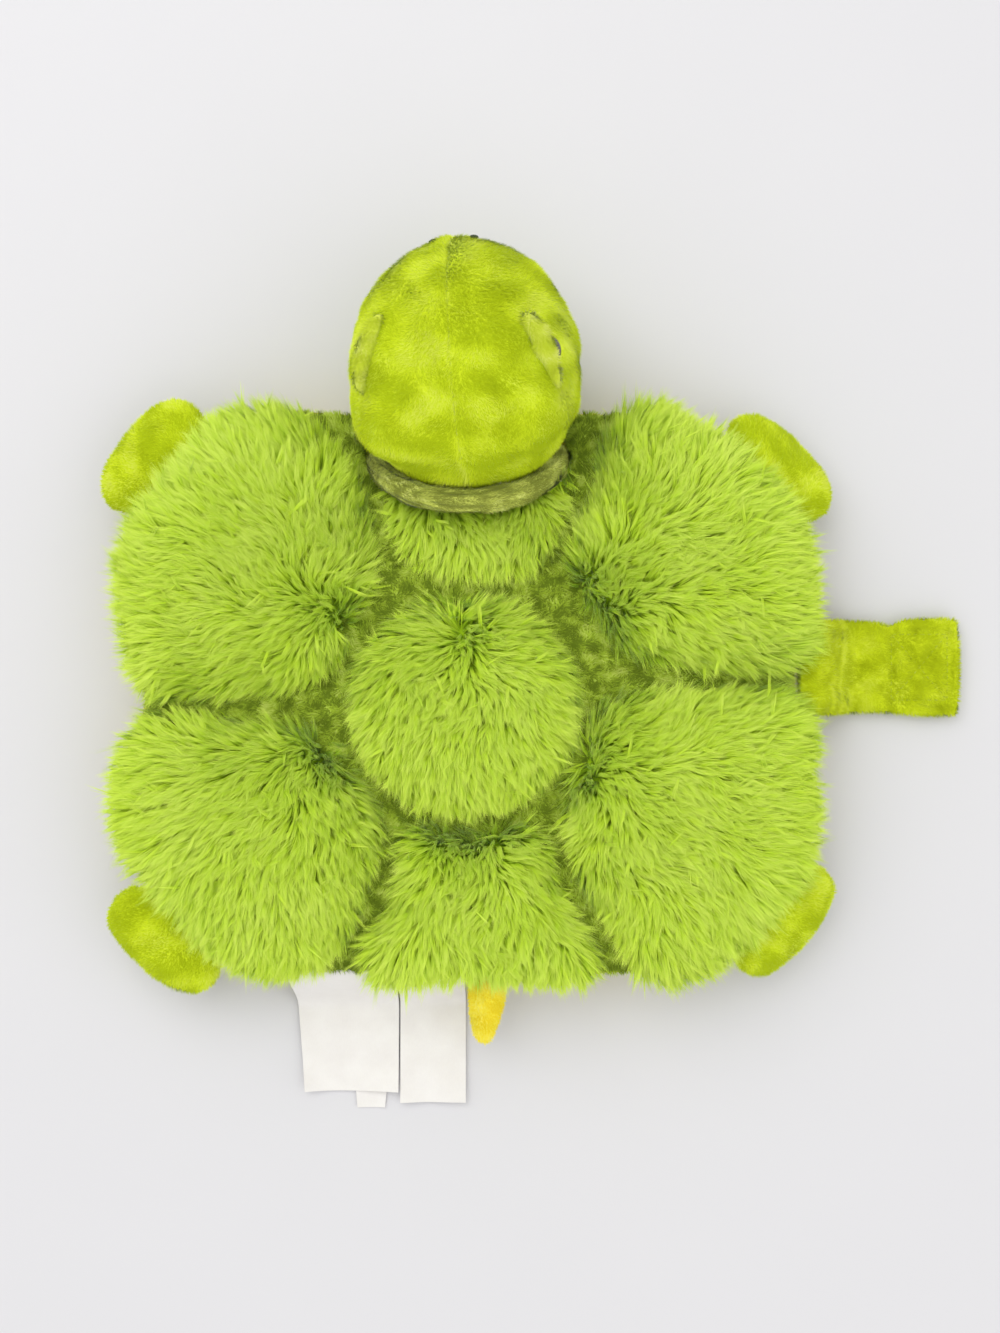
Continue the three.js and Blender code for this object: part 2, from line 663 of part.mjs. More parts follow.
// A limb along +X that swells from its root and rounds off at its tip.
function limbSolid({ reach, halfWidth, halfThickness, stationShares }, inset, rootRings) {
  const rings = stationShares.map(([at, widthShare, thicknessShare]) =>
    limbRing(at * (reach - inset), halfWidth * widthShare - inset, halfThickness * thicknessShare - inset));
  return solidOf(skinOf([...rootRings, ...rings]));
}

// Sections of a root that is rounded about its pivot, from its end up to some half thickness.
function knuckle(radius, halfThickness, sectionAt) {
  const from = Math.asin(halfThickness / radius);
  return knuckleShares.map((share) => sectionAt(-radius * Math.cos(from * share), radius * Math.sin(from * share)));
}

// A limb's cover, open at its root, and the stuffing that shows there.
function limbSolids(limb) {
  const halfWidth = limb.halfWidth * limb.stationShares[0][1];
  const radius = rootThickness(limb);
  const round = knuckle(radius, radius, (x, thickness) => limbRing(x, halfWidth, thickness));
  const mouth = limbRing(-limb.reach, halfWidth - limbCoverThickness, radius - limbCoverThickness);
  const cover = limbSolid(limb, 0, round).subtract(limbSolid(limb, limbCoverThickness, [mouth]));
  const depth = limbCoverThickness + seamGap;
  const plug = knuckle(radius, radius - depth, (x, thickness) => limbRing(x, halfWidth - depth, thickness));
  return { cover, stuffing: limbSolid(limb, depth, plug) };
}

const foot = {
  reach: footReach, halfWidth: footHalfWidth, halfThickness: footHalfThickness,
  stationShares: [
    [0, 0.78, 0.42], [0.2, 0.93, 0.75], [0.48, 1, 1], [0.74, 0.88, 0.9], [0.92, 0.62, 0.62], [1, 0.3, 0.34],
  ],
};
const tail = {
  reach: tailReach, halfWidth: tailHalfWidth, halfThickness: tailHalfThickness,
  stationShares: [[0, 0.9, 0.8], [0.3, 1, 1], [0.62, 0.78, 0.86], [0.88, 0.5, 0.62], [1, 0.34, 0.44]],
};

// Adds a limb's cover and its stuffing, outside the seam at the pillow's furthest point that way.
function addLimb(name, limb, root, bearing, droop) {
  const group = new THREE.Group();
  group.name = `${name}_root`;
  group.position.set(root.x, root.y, seamHeight);
  group.rotation.set(0, radians(droop), radians(bearing), "ZYX");
  const { cover, stuffing } = limbSolids(limb);
  addPart(name, cover, name === "tail" ? cloths.yellow : cloths.lime, group);
  addPart(`${name}_stuffing`, stuffing, cloths.stuffing, group);
  turtle.add(group);
}

// A flat band along +X that leaves its root level, comes down over a run and lies flat from there.
function bandSolid({ length, halfWidth, endHalfWidth, halfThickness, drop, run, drift = 0 }) {
  const stations = [...Array.from({ length: dropSteps }, (_, i) => (run * i) / dropSteps), run, length];
  const heightAt = (x) => -drop * (1 - Math.cos(Math.PI * Math.min(1, x / run))) / 2;
  const root = knuckle(halfThickness, halfThickness, (x, thickness) => [x, thickness]).map(([x, thickness]) =>
    [[-1, -1], [1, -1], [1, 1], [-1, 1]]
      .map(([across, over]) => new THREE.Vector3(x, across * halfWidth, over * thickness)));
  const rings = stations.map((x) => {
    const slope = x < run ? (-drop * Math.PI * Math.sin((Math.PI * x) / run)) / (2 * run) : 0;
    const up = new THREE.Vector3(-slope, 0, 1).normalize().multiplyScalar(halfThickness);
    const wide = THREE.MathUtils.lerp(halfWidth, endHalfWidth, x / length);
    const middle = new THREE.Vector3(x, (drift * x) / length, heightAt(x));
    return [[-1, -1], [1, -1], [1, 1], [-1, 1]].map(([across, over]) =>
      middle.clone().addScaledVector(up, over).add(new THREE.Vector3(0, across * wide, 0)));
  });
  return solidOf(skinOf([...root, ...rings]));
}

function addBand(name, band, { x, y, z, bearing }, cloth) {
  const group = new THREE.Group();
  group.name = `${name}_root`;
  group.position.set(x, y, z);
  group.rotation.z = radians(bearing);
  addPart(name, bandSolid(band), cloth, group);
  turtle.add(group);
}

// The closing strap on the right seam, the hook pad under its end and the loop pad under the left wing.
function addStrap() {
  const rootX = seatTowards(0, strapHalfThickness, strapHalfWidth, strapY).x;
  const layHeight = padThickness + seamGap + strapHalfThickness;
  const band = {
    length: strapLength, halfWidth: strapHalfWidth, endHalfWidth: strapEndHalfWidth,
    halfThickness: strapHalfThickness, drop: seamHeight - layHeight, run: strapDropRun,
  };
  addBand("strap", band, { x: rootX, y: strapY, z: seamHeight, bearing: 0 }, cloths.lime);
  const hook = new THREE.BoxGeometry(hookPadLength, hookPadWidth, padThickness);
  hook.translate(rootX + strapLength - hookPadLength / 2 - padThickness, strapY, padThickness / 2);
  addPart("hook_pad", solidOf(hook), cloths.fastener);
  const reachOut = new THREE.BoxGeometry(pillowHalfWidth, loopPadWidth, seamHeight - padThickness);
  reachOut.translate(-loopPadInner - pillowHalfWidth / 2, strapY, (seamHeight - padThickness) / 2);
  const layer = pillowSolid(-seamGap - padThickness).subtract(pillowSolid(-seamGap));
  addPart("loop_pad", layer.intersect(solidOf(reachOut)), cloths.fastener);
}

// The care label with its folded leaf, and the narrower label beside it, sewn into the rear seam.
function addLabels() {
  const step = 2 * (labelHalfThickness + seamGap);
  const floorGap = seamGap + labelHalfThickness;
  const rootHeight = seamHeight - step / 2;
  const labels = [
    ["care_label_leaf", leafX, careLabelLength + leafExtra, leafHalfWidth, leafHalfWidth / 2, 0, 0],
    [
      "care_label", careLabelX, careLabelLength, careLabelHalfWidth, careLabelEndHalfWidth, careLabelDrift,
      step,
    ],
    ["name_label", nameLabelX, nameLabelLength, nameLabelHalfWidth, nameLabelHalfWidth, 0, step],
  ];
  for (const [name, x, length, halfWidth, endHalfWidth, drift, lift] of labels) {
    const band = {
      length, halfWidth, endHalfWidth, drift, halfThickness: labelHalfThickness,
      drop: rootHeight - floorGap, run: labelDropRun,
    };
    const y = seatTowards(-90, labelHalfThickness, halfWidth, x).y;
    addBand(name, band, { x, y, z: rootHeight + lift, bearing: -90 }, cloths.label);
  }
}

addPillow();
addNeck();
addHead();
for (const { name, bearing, asideShare, droop } of footPlaces) {
  const seat = seatTowards(bearing, rootThickness(foot), footHalfWidth, asideShare * footHalfWidth);
  addLimb(name, foot, seat, bearing, droop);
}
const tailSeat = seatTowards(-90, rootThickness(tail), tailHalfWidth, tailX);
addLimb("tail", tail, tailSeat, tailBearing, tailDroop);
addStrap();
addLabels();

export default turtle;
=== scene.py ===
import json
import math
import bpy
import numpy as np
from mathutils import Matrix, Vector
from mathutils.bvhtree import BVHTree
from mathutils.kdtree import KDTree

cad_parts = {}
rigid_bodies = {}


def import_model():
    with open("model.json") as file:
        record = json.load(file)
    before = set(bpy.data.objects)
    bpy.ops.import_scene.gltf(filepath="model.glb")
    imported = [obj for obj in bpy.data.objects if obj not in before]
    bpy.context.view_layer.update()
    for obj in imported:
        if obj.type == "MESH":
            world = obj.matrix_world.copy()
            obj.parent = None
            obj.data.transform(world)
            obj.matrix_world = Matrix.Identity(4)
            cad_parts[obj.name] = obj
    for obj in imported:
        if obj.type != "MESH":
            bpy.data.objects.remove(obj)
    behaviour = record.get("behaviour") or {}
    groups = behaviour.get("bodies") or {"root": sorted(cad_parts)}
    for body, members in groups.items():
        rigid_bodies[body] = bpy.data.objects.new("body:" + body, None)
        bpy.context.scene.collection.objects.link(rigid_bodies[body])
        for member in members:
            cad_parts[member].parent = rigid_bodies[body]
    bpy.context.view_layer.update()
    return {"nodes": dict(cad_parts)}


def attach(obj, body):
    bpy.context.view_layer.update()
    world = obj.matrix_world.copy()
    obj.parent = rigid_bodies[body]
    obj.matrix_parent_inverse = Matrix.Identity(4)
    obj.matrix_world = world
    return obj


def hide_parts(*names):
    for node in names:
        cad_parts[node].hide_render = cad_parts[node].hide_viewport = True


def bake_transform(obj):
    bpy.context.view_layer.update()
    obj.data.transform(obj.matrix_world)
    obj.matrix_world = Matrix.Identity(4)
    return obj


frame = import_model()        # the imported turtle, hidden node by node as its cloth is made
mm = 0.001               # everything below is worked out in millimetres
sides = {"Left": -1, "Right": 1}

print("camera, light and floor")

studio = {
    "camera": (13.3, 9.1, 620), "lens": 27.96, "sensor": 24, "clipStart": 0.01,
    "worldLevel": 0.84, "keyPower": 6.5, "keySize": 1.1, "keyPlace": (-420, 560, 1150),
    "fillPower": 2.2, "fillSize": 1.4, "fillPlace": (700, -500, 900),
    "floorSize": 8000, "floorColour": (222, 221, 223), "mottleColour": (190, 189, 192),
    "mottleSize": 60, "mottleShare": 0.06,
}


def linear(red, green, blue):        # a colour written from 0 to 255, as a shader's socket takes it
    shares = [value / 255 for value in (red, green, blue)]
    return (*[s / 12.92 if s <= 0.04045 else ((s + 0.055) / 1.055) ** 2.4 for s in shares], 1)


def pick(piece):
    bpy.ops.object.select_all(action="DESELECT")
    piece.select_set(True)
    bpy.context.view_layer.objects.active = piece


class Amount:        # a number or colour that varies over a surface, so that sums on it read as plain sums
    def __init__(self, paint, socket):
        self.paint = paint
        self.socket = socket

    def reckon(self, operation, first, second):
        return self.paint.add("ShaderNodeMath", {"operation": operation}, {0: first, 1: second})

    def __add__(self, other):
        return self.reckon("ADD", self, other)

    def __radd__(self, other):
        return self.reckon("ADD", other, self)

    def __sub__(self, other):
        return self.reckon("SUBTRACT", self, other)

    def __rsub__(self, other):
        return self.reckon("SUBTRACT", other, self)

    def __mul__(self, other):
        return self.reckon("MULTIPLY", self, other)

    def __rmul__(self, other):
        return self.reckon("MULTIPLY", other, self)

    def held(self):        # kept between 0 and 1
        return self.paint.add("ShaderNodeClamp", {}, {"Value": self})


class Paint:         # one material, and the few ways of adding nodes to it
    def __init__(self, name, finish):
        self.material = bpy.data.materials.new(name)
        self.material.use_nodes = True
        self.tree = self.material.node_tree
        self.shader = self.tree.nodes["Principled BSDF"]
        for socket, value in finish.items():
            self.shader.inputs[socket].default_value = value

    def add(self, kind, settings, inputs, output=0):
        node = self.tree.nodes.new(kind)
        for key, value in settings.items():
            if key == "stops":
                self.setStops(node.color_ramp.elements, value)
            else:
                setattr(node, key, value)
        for socket, value in inputs.items():
            self.feed(node.inputs[socket], value)
        return Amount(self, node.outputs[output])

    def setStops(self, elements, stops):
        while len(elements) < len(stops):
            elements.new(0.5)
        for element, (place, colour) in zip(elements, stops):
            element.position = place
            element.color = colour

    def feed(self, socket, value):
        if isinstance(value, Amount):
            self.tree.links.new(value.socket, socket)
        else:
            socket.default_value = value

    def place(self):
        return self.add("ShaderNodeTexCoord", {}, {}, "Object")

    def stretched(self, scale):
        return self.add("ShaderNodeMapping", {}, {"Vector": self.place(), "Scale": scale})

    def noise(self, size, detail=2.0, roughness=0.5, at=None):        # size in millimetres
        inputs = {"Vector": at or self.place(), "Scale": 1 / (size * mm), "Detail": detail, "Roughness": roughness}
        return self.add("ShaderNodeTexNoise", {}, inputs)

    def tint(self, part):        # a channel of what each fibre carries
        whole = self.add("ShaderNodeAttribute", {"attribute_name": "fibreTint"}, {}, "Color")
        return self.add("ShaderNodeSeparateColor", {}, {"Color": whole}, part)

    def ramp(self, amount, stops):
        return self.add("ShaderNodeValToRGB", {"stops": stops}, {"Fac": amount})

    def mix(self, share, first, second):        # a Mix node's colours go in at 6 and 7, and come out at 2
        settings = {"data_type": "RGBA", "blend_type": "MIX"}
        return self.add("ShaderNodeMix", settings, {0: share, 6: first, 7: second}, 2)

    def bump(self, height, strength, depth):        # depth in millimetres
        inputs = {"Height": height, "Strength": strength, "Distance": depth * mm}
        self.feed(self.shader.inputs["Normal"], self.add("ShaderNodeBump", {}, inputs))

    def colour(self, colour):
        self.feed(self.shader.inputs["Base Color"], colour)

    def roughness(self, amount):
        self.feed(self.shader.inputs["Roughness"], amount)

    def onto(self, piece):
        piece.data.materials.clear()
        piece.data.materials.append(self.material)


def addLamp(name, place, size, power):
    bpy.ops.object.light_add(type="AREA", location=[value * mm for value in place])
    lamp = bpy.context.object
    lamp.name = name
    lamp.data.size = size
    lamp.data.energy = power
    lamp.rotation_euler = (-Vector(place)).to_track_quat("-Z", "Y").to_euler()


def addStudio():
    bpy.ops.object.camera_add(location=[value * mm for value in studio["camera"]], rotation=(0, 0, 0))
    camera = bpy.context.object
    camera.name = "camera"
    camera.data.sensor_fit = "VERTICAL"
    camera.data.sensor_height = studio["sensor"]
    camera.data.lens = studio["lens"]
    camera.data.clip_start = studio["clipStart"]
    bpy.context.scene.camera = camera
    world = bpy.data.worlds.new("softRoom")
    bpy.context.scene.world = world
    world.use_nodes = True
    background = world.node_tree.nodes["Background"]
    background.inputs["Color"].default_value = (1, 1, 1, 1)
    background.inputs["Strength"].default_value = studio["worldLevel"]
    addLamp("keyLamp", studio["keyPlace"], studio["keySize"], studio["keyPower"])
    addLamp("fillLamp", studio["fillPlace"], studio["fillSize"], studio["fillPower"])
    bpy.ops.mesh.primitive_plane_add(size=studio["floorSize"] * mm)
    floor = bpy.context.object
    floor.name = "floor"
    paint = Paint("floorPaper", {"Roughness": 0.9, "Specular IOR Level": 0.2})
    mottle = paint.noise(studio["mottleSize"], 3.0) * studio["mottleShare"]
    paint.colour(paint.mix(mottle, linear(*studio["floorColour"]), linear(*studio["mottleColour"])))
    paint.onto(floor)


addStudio()
bpy.context.scene.view_settings.view_transform = "Standard"

print("tools for cloth and pile")


def pointsOf(piece):
    points = np.empty(len(piece.data.vertices) * 3)
    piece.data.vertices.foreach_get("co", points)
    return points.reshape(-1, 3) / mm


def placePoints(piece, points):
    piece.data.vertices.foreach_set("co", (np.asarray(points) * mm).ravel())
    piece.data.update()


def unit(vectors):
    return vectors / np.maximum(np.linalg.norm(vectors, axis=-1, keepdims=True), 1e-12)


def bell(distance, width):        # 1 in the middle, fading out on both sides
    return np.exp(-(distance / width) ** 2)


def smooth(low, high, value):        # 0 below low, 1 above high, and an easy passage between
    share = np.clip((value - low) / (high - low), 0, 1)
    return share * share * (3 - 2 * share)


def ripple(points, size, seed, waves=10):        # a smooth unevenness of about -1 to 1
    draw = np.random.default_rng(seed)
    directions = unit(draw.normal(size=(waves, 3))) * draw.uniform(0.6, 1.7, (waves, 1)) * 2 * math.pi / size
    return np.sin(points @ directions.T + draw.uniform(0, 2 * math.pi, waves)).sum(axis=1) / waves ** 0.5


def turnedAbout(vectors, axes, turns):        # turns in radians
    cosine = np.cos(turns)[:, None]
    sine = np.sin(turns)[:, None]
    along = (axes * vectors).sum(axis=1, keepdims=True)
    return vectors * cosine + np.cross(axes, vectors) * sine + axes * along * (1 - cosine)


def ballForm(name, segments, rings, shape):        # a ball whose points are moved to where a shape puts them
    bpy.ops.object.select_all(action="DESELECT")
    bpy.ops.mesh.primitive_uv_sphere_add(segments=segments, ring_count=rings, radius=mm)
    piece = bpy.context.object
    piece.name = piece.data.name = name
    placePoints(piece, shape(pointsOf(piece)))
    faceOutwards(piece)
    bpy.ops.object.shade_smooth()
    return piece


def faceOutwards(piece):
    pick(piece)
    bpy.ops.object.mode_set(mode="EDIT")
    bpy.ops.mesh.select_all(action="SELECT")
    bpy.ops.mesh.normals_make_consistent(inside=False)
    bpy.ops.object.mode_set(mode="OBJECT")


def sweptForm(name, segments, rings, plan):        # a section carried along a path and closed at both ends
    def shape(ball):
        share = np.arccos(np.clip(ball[:, 2], -1, 1)) / math.pi
        around = np.arctan2(ball[:, 1], ball[:, 0])
        middle = plan["path"](share)
        tangent = unit(plan["path"](share + 1e-3) - plan["path"](share - 1e-3))
        over = plan["over"](share)
        over = unit(over - (over * tangent).sum(axis=1, keepdims=True) * tangent)
        across = np.cross(tangent, over)
        power = 2 / plan.get("squareness", 2)
        sideways = np.sign(np.cos(around)) * np.abs(np.cos(around)) ** power
        upwards = np.sign(np.sin(around)) * np.abs(np.sin(around)) ** power
        near = np.clip(np.minimum(share, 1 - share) / plan.get("endShare", 0.08), 0, 1)
        closing = np.sqrt(1 - (1 - near) ** 2)
        if "folds" in plan:
            closing = closing * plan["folds"](share, around)
        wide = (plan["halfWidth"](share) * closing * sideways)[:, None]
        high = (plan["halfHeight"](share) * closing * upwards)[:, None]
        return middle + across * wide + over * high
    return ballForm(name, segments, rings, shape)


def applied(piece, name, kind, **settings):
    pick(piece)
    modifier = piece.modifiers.new(name, kind)
    for key, value in settings.items():
        setattr(modifier, key, value)
    bpy.ops.object.modifier_apply(modifier=name)


def stuffed(piece, plan, pinned=None):        # swells a closed cover with stuffing, as cloth under pressure
    applied(piece, "evenMesh", "REMESH", mode="VOXEL", voxel_size=plan["voxel"] * mm)
    start = pointsOf(piece)
    cloth = piece.modifiers.new("stuffing", "CLOTH")
    cloth.settings.use_pressure = True
    cloth.settings.uniform_pressure_force = plan["pressure"]
    cloth.settings.effector_weights.gravity = 0
    cloth.settings.quality = plan["quality"]
    if pinned is not None:
        group = piece.vertex_groups.new(name="seam")
        group.add([int(i) for i in np.flatnonzero(pinned(start))], 1, "REPLACE")
        cloth.settings.vertex_group_mass = "seam"
    for step in range(1, plan["steps"] + 1):
        bpy.context.scene.frame_set(step)
    pick(piece)
    bpy.ops.object.modifier_apply(modifier="stuffing")
    bpy.context.scene.frame_set(1)
    moved = pointsOf(piece) - start
    length = np.linalg.norm(moved, axis=1, keepdims=True)
    placePoints(piece, start + moved * np.minimum(1, plan["swell"] / np.maximum(length, 1e-9)))
    applied(piece, "softness", "SMOOTH", factor=0.5, iterations=2)
    applied(piece, "fineMesh", "SUBSURF", levels=1, render_levels=1)
    bpy.ops.object.shade_smooth()


def copyOf(piece, name):
    pick(piece)
    bpy.ops.object.duplicate()
    copy = bpy.context.object
    copy.name = copy.data.name = name
    return copy


def cutAway(piece, place, towards):        # removes what lies past a plane
    pick(piece)
    bpy.ops.object.mode_set(mode="EDIT")
    bpy.ops.mesh.select_all(action="SELECT")
    bpy.ops.mesh.bisect(plane_co=[v * mm for v in place], plane_no=towards, clear_outer=True)
    bpy.ops.object.mode_set(mode="OBJECT")


def scatterOn(piece, perSquare, draw, wanted=None):        # evenly drawn roots on a cover, with the normals there
    mesh = piece.data
    mesh.calc_loop_triangles()
    corners = np.empty(len(mesh.loop_triangles) * 3, dtype=np.int32)
    mesh.loop_triangles.foreach_get("vertices", corners)
    corners = corners.reshape(-1, 3)
    points = pointsOf(piece)
    normals = np.empty(len(points) * 3)
    mesh.vertex_normals.foreach_get("vector", normals)
    normals = normals.reshape(-1, 3)
    if wanted is not None:
        corners = corners[wanted(points[corners].mean(axis=1), normals[corners].mean(axis=1))]
    first, second, third = (points[corners[:, i]] for i in range(3))
    areas = np.linalg.norm(np.cross(second - first, third - first), axis=1) / 2
    count = int(areas.sum() * perSquare)
    steps = (np.arange(count) + draw.uniform(size=count)) / count
    chosen = np.minimum(np.searchsorted(np.cumsum(areas) / areas.sum(), steps), len(corners) - 1)
    shares = draw.uniform(size=(count, 2))
    over = shares.sum(axis=1) > 1
    shares[over] = 1 - shares[over]
    weights = np.column_stack([1 - shares.sum(axis=1), shares])[:, :, None]
    picked = corners[chosen]
    return (points[picked] * weights).sum(axis=1), unit((normals[picked] * weights).sum(axis=1))


def fibreMesh(name, points, normals, tints, faces, ties):
    # fibres are far too many for operators, so their mesh is filled in whole
    count, perFibre = points.shape[:2]
    mesh = bpy.data.meshes.new(name)
    mesh.vertices.add(count * perFibre)
    mesh.vertices.foreach_set("co", (points * mm).ravel())
    corners = (np.arange(count)[:, None, None] * perFibre + faces[None]).reshape(-1)
    mesh.loops.add(len(corners))
    mesh.loops.foreach_set("vertex_index", corners.astype(np.int32))
    mesh.polygons.add(len(corners) // 3)
    mesh.polygons.foreach_set("loop_start", np.arange(0, len(corners), 3, dtype=np.int32))
    mesh.update(calc_edges=True)
    mesh.polygons.foreach_set("use_smooth", np.ones(len(corners) // 3, dtype=bool))
    tint = mesh.color_attributes.new(name="fibreTint", type="FLOAT_COLOR", domain="POINT")
    tint.data.foreach_set("color", tints.reshape(-1, 4).astype(np.float32).ravel())
    cells = math.ceil(math.sqrt(count))
    cell = np.column_stack([np.arange(count) % cells, np.arange(count) // cells])
    grid = (cell[:, None, :] + 0.12 + 0.76 * ties[None]) / cells        # a cell for each fibre, to bake it in
    layer = mesh.uv_layers.new(name="OFBake")
    layer.data.foreach_set("uv", grid.reshape(-1, 2)[corners].astype(np.float32).ravel())
    mesh.normals_split_custom_set_from_vertices(normals.reshape(-1, 3))
    piece = bpy.data.objects.new(name, mesh)
    bpy.context.collection.objects.link(piece)
    return piece


def combed(normals, combs):        # comb directions laid along the surface
    return unit(combs - (combs * normals).sum(axis=1, keepdims=True) * normals)


blade = {        # what all naps share
    "quickShare": 0.4, "turn": 0.35, "liftWave": 0.3, "liftStray": 0.12, "lowest": 0.2, "highest": 1.1,
    "shortest": 0.7, "longest": 1.15, "rooted": 0.25, "floor": 0.05, "upright": 1.2,
    "reachLight": 0.2, "skyLight": 0.9, "strayLight": 0.12, "patchDepth": 0.45,
}


def growNap(name, base, plan, comb, wanted=None):        # the short nap of plush: one fine blade for each fibre
    draw = np.random.default_rng(plan["seed"])
    thinned = 1
    roots, normals = scatterOn(base, plan["perSquare"] * thinned, draw, wanted)
    count = len(roots)
    along = combed(normals, comb(roots))
    turns = ripple(roots, plan["swirl"], plan["seed"]) * plan["stray"] + draw.normal(0, blade["turn"], count)
    along = turnedAbout(along, normals, turns)
    wave = blade["liftWave"] * ripple(roots, plan["swirl"] * 0.8, plan["seed"] + 1)
    lift = np.radians(plan["lift"]) * (1 + wave) + draw.normal(0, blade["liftStray"], count)
    lift = np.clip(lift, blade["lowest"], blade["highest"])[:, None]
    reach = along * np.cos(lift) + normals * np.sin(lift)
    length = (plan["length"] * draw.uniform(blade["shortest"], blade["longest"], count))[:, None]
    side = unit(np.cross(reach, normals)) * plan["width"] / 2
    foot = roots - normals * blade["rooted"]
    points = np.stack([foot - side, foot + side, foot + reach * length], axis=1)
    points[:, :, 2] = np.maximum(points[:, :, 2], blade["floor"])        # what lies on the floor is pressed flat
    facing = np.cross(points[:, 1] - points[:, 0], points[:, 2] - points[:, 0])
    outwards = normals + blade["upright"] * smooth(-0.25, 0, normals[:, 2:]) * [0, 0, 1]
    wrong = (facing * outwards).sum(axis=1) < 0
    points[wrong] = points[wrong][:, [1, 0, 2]]
    sky = smooth(-0.35, 0.05, normals[:, 2])[:, None] * [0, 0, 1]
    stray = draw.normal(0, blade["strayLight"], (count, 3))
    shading = unit(normals + blade["reachLight"] * reach + blade["skyLight"] * sky + stray)
    tints = np.ones((count, 3, 4))        # how far out a point is, its fibre's own tone, and its patch's painted nap shading
    tints[:, :, 0] = [0, 0, 1]
    tints[:, :, 1] = draw.uniform(size=(count, 1))
    # painted nap shading: each fibre takes its patch's share between the deep and the pale tone
    patch = 0.5 + blade["patchDepth"] * ripple(roots, plan["swirl"], plan["seed"] + 2)
    if "shade" in plan:
        patch = patch + plan["shade"](roots)
    tints[:, :, 2] = np.clip(patch, 0, 1)[:, None]
    ties = np.array([[0, 0], [1, 0], [0.5, 1]])
    return fibreMesh(name, points, np.repeat(shading[:, None], 3, axis=1), tints, np.array([[0, 1, 2]]), ties)


pile = {
    "perSquare": 9.4, "perLock": 10.2, "lockRadius": 0.7, "length": 13, "width": 0.28, "stand": 66, "settle": 20,
    "stray": 0.16, "gather": 0.6, "loose": 0.5, "quickShare": 0.35, "rooted": 0.6, "twist": 38, "sway": 0.22,
    "partingWidth": 13, "partingRise": 14, "partingTurn": 0.5, "wildShare": 0.015, "wildTurn": 0.8, "wildExtra": 0.25,
    "waveSize": 30, "waveTurn": 0.4, "tuftSize": 6.5, "tuftTurn": 0.38, "moundSize": 7.5, "moundRise": 12,
}
stations = np.array([0, 0.5, 1.0])        # where along its length a strand has points


def lockPaths(roots, normals, plan, comb, draw):        # the middle line of each lock: it stands up, then settles
    count, seed = len(roots), plan["seed"]
    lay = combed(normals, comb(roots))
    parting = bell(np.linalg.norm(roots[:, :2] - plan["swirl"], axis=1), plan["partingWidth"])
    wild = draw.uniform(size=count) < plan["wildShare"]
    turns = draw.normal(0, plan["stray"], count) + plan["waveTurn"] * ripple(roots, plan["waveSize"], seed)
    turns = turns + plan["tuftTurn"] * ripple(roots, plan["tuftSize"], seed + 3)        # tufts that lean apart
    turns = turns + (plan["partingTurn"] * parting + plan["wildTurn"] * wild) * draw.normal(0, 1, count)
    lay = turnedAbout(lay, normals, turns)
    stand = np.radians(plan["stand"]) * draw.uniform(0.85, 1.15, count)
    mounds = plan["moundRise"] * ripple(roots, plan["moundSize"], seed + 4)
    settle = np.radians(plan["settle"] + plan["partingRise"] * parting + mounds) + draw.normal(0, 0.1, count)
    sway = draw.normal(0, plan["sway"], count)
    size = plan["length"] * draw.uniform(0.85, 1.12, count) * plan["lengthAt"](roots) * (1 + plan["wildExtra"] * wild)
    path = [roots]
    for low, high in zip(stations, stations[1:]):
        middle = (low + high) / 2
        lift = stand + (settle - stand) * middle ** 0.7
        heading = turnedAbout(lay, normals, sway * middle)
        step = heading * np.cos(lift)[:, None] + normals * np.sin(lift)[:, None]
        path.append(path[-1] + step * (size * (high - low))[:, None])
    return np.stack(path, axis=1)


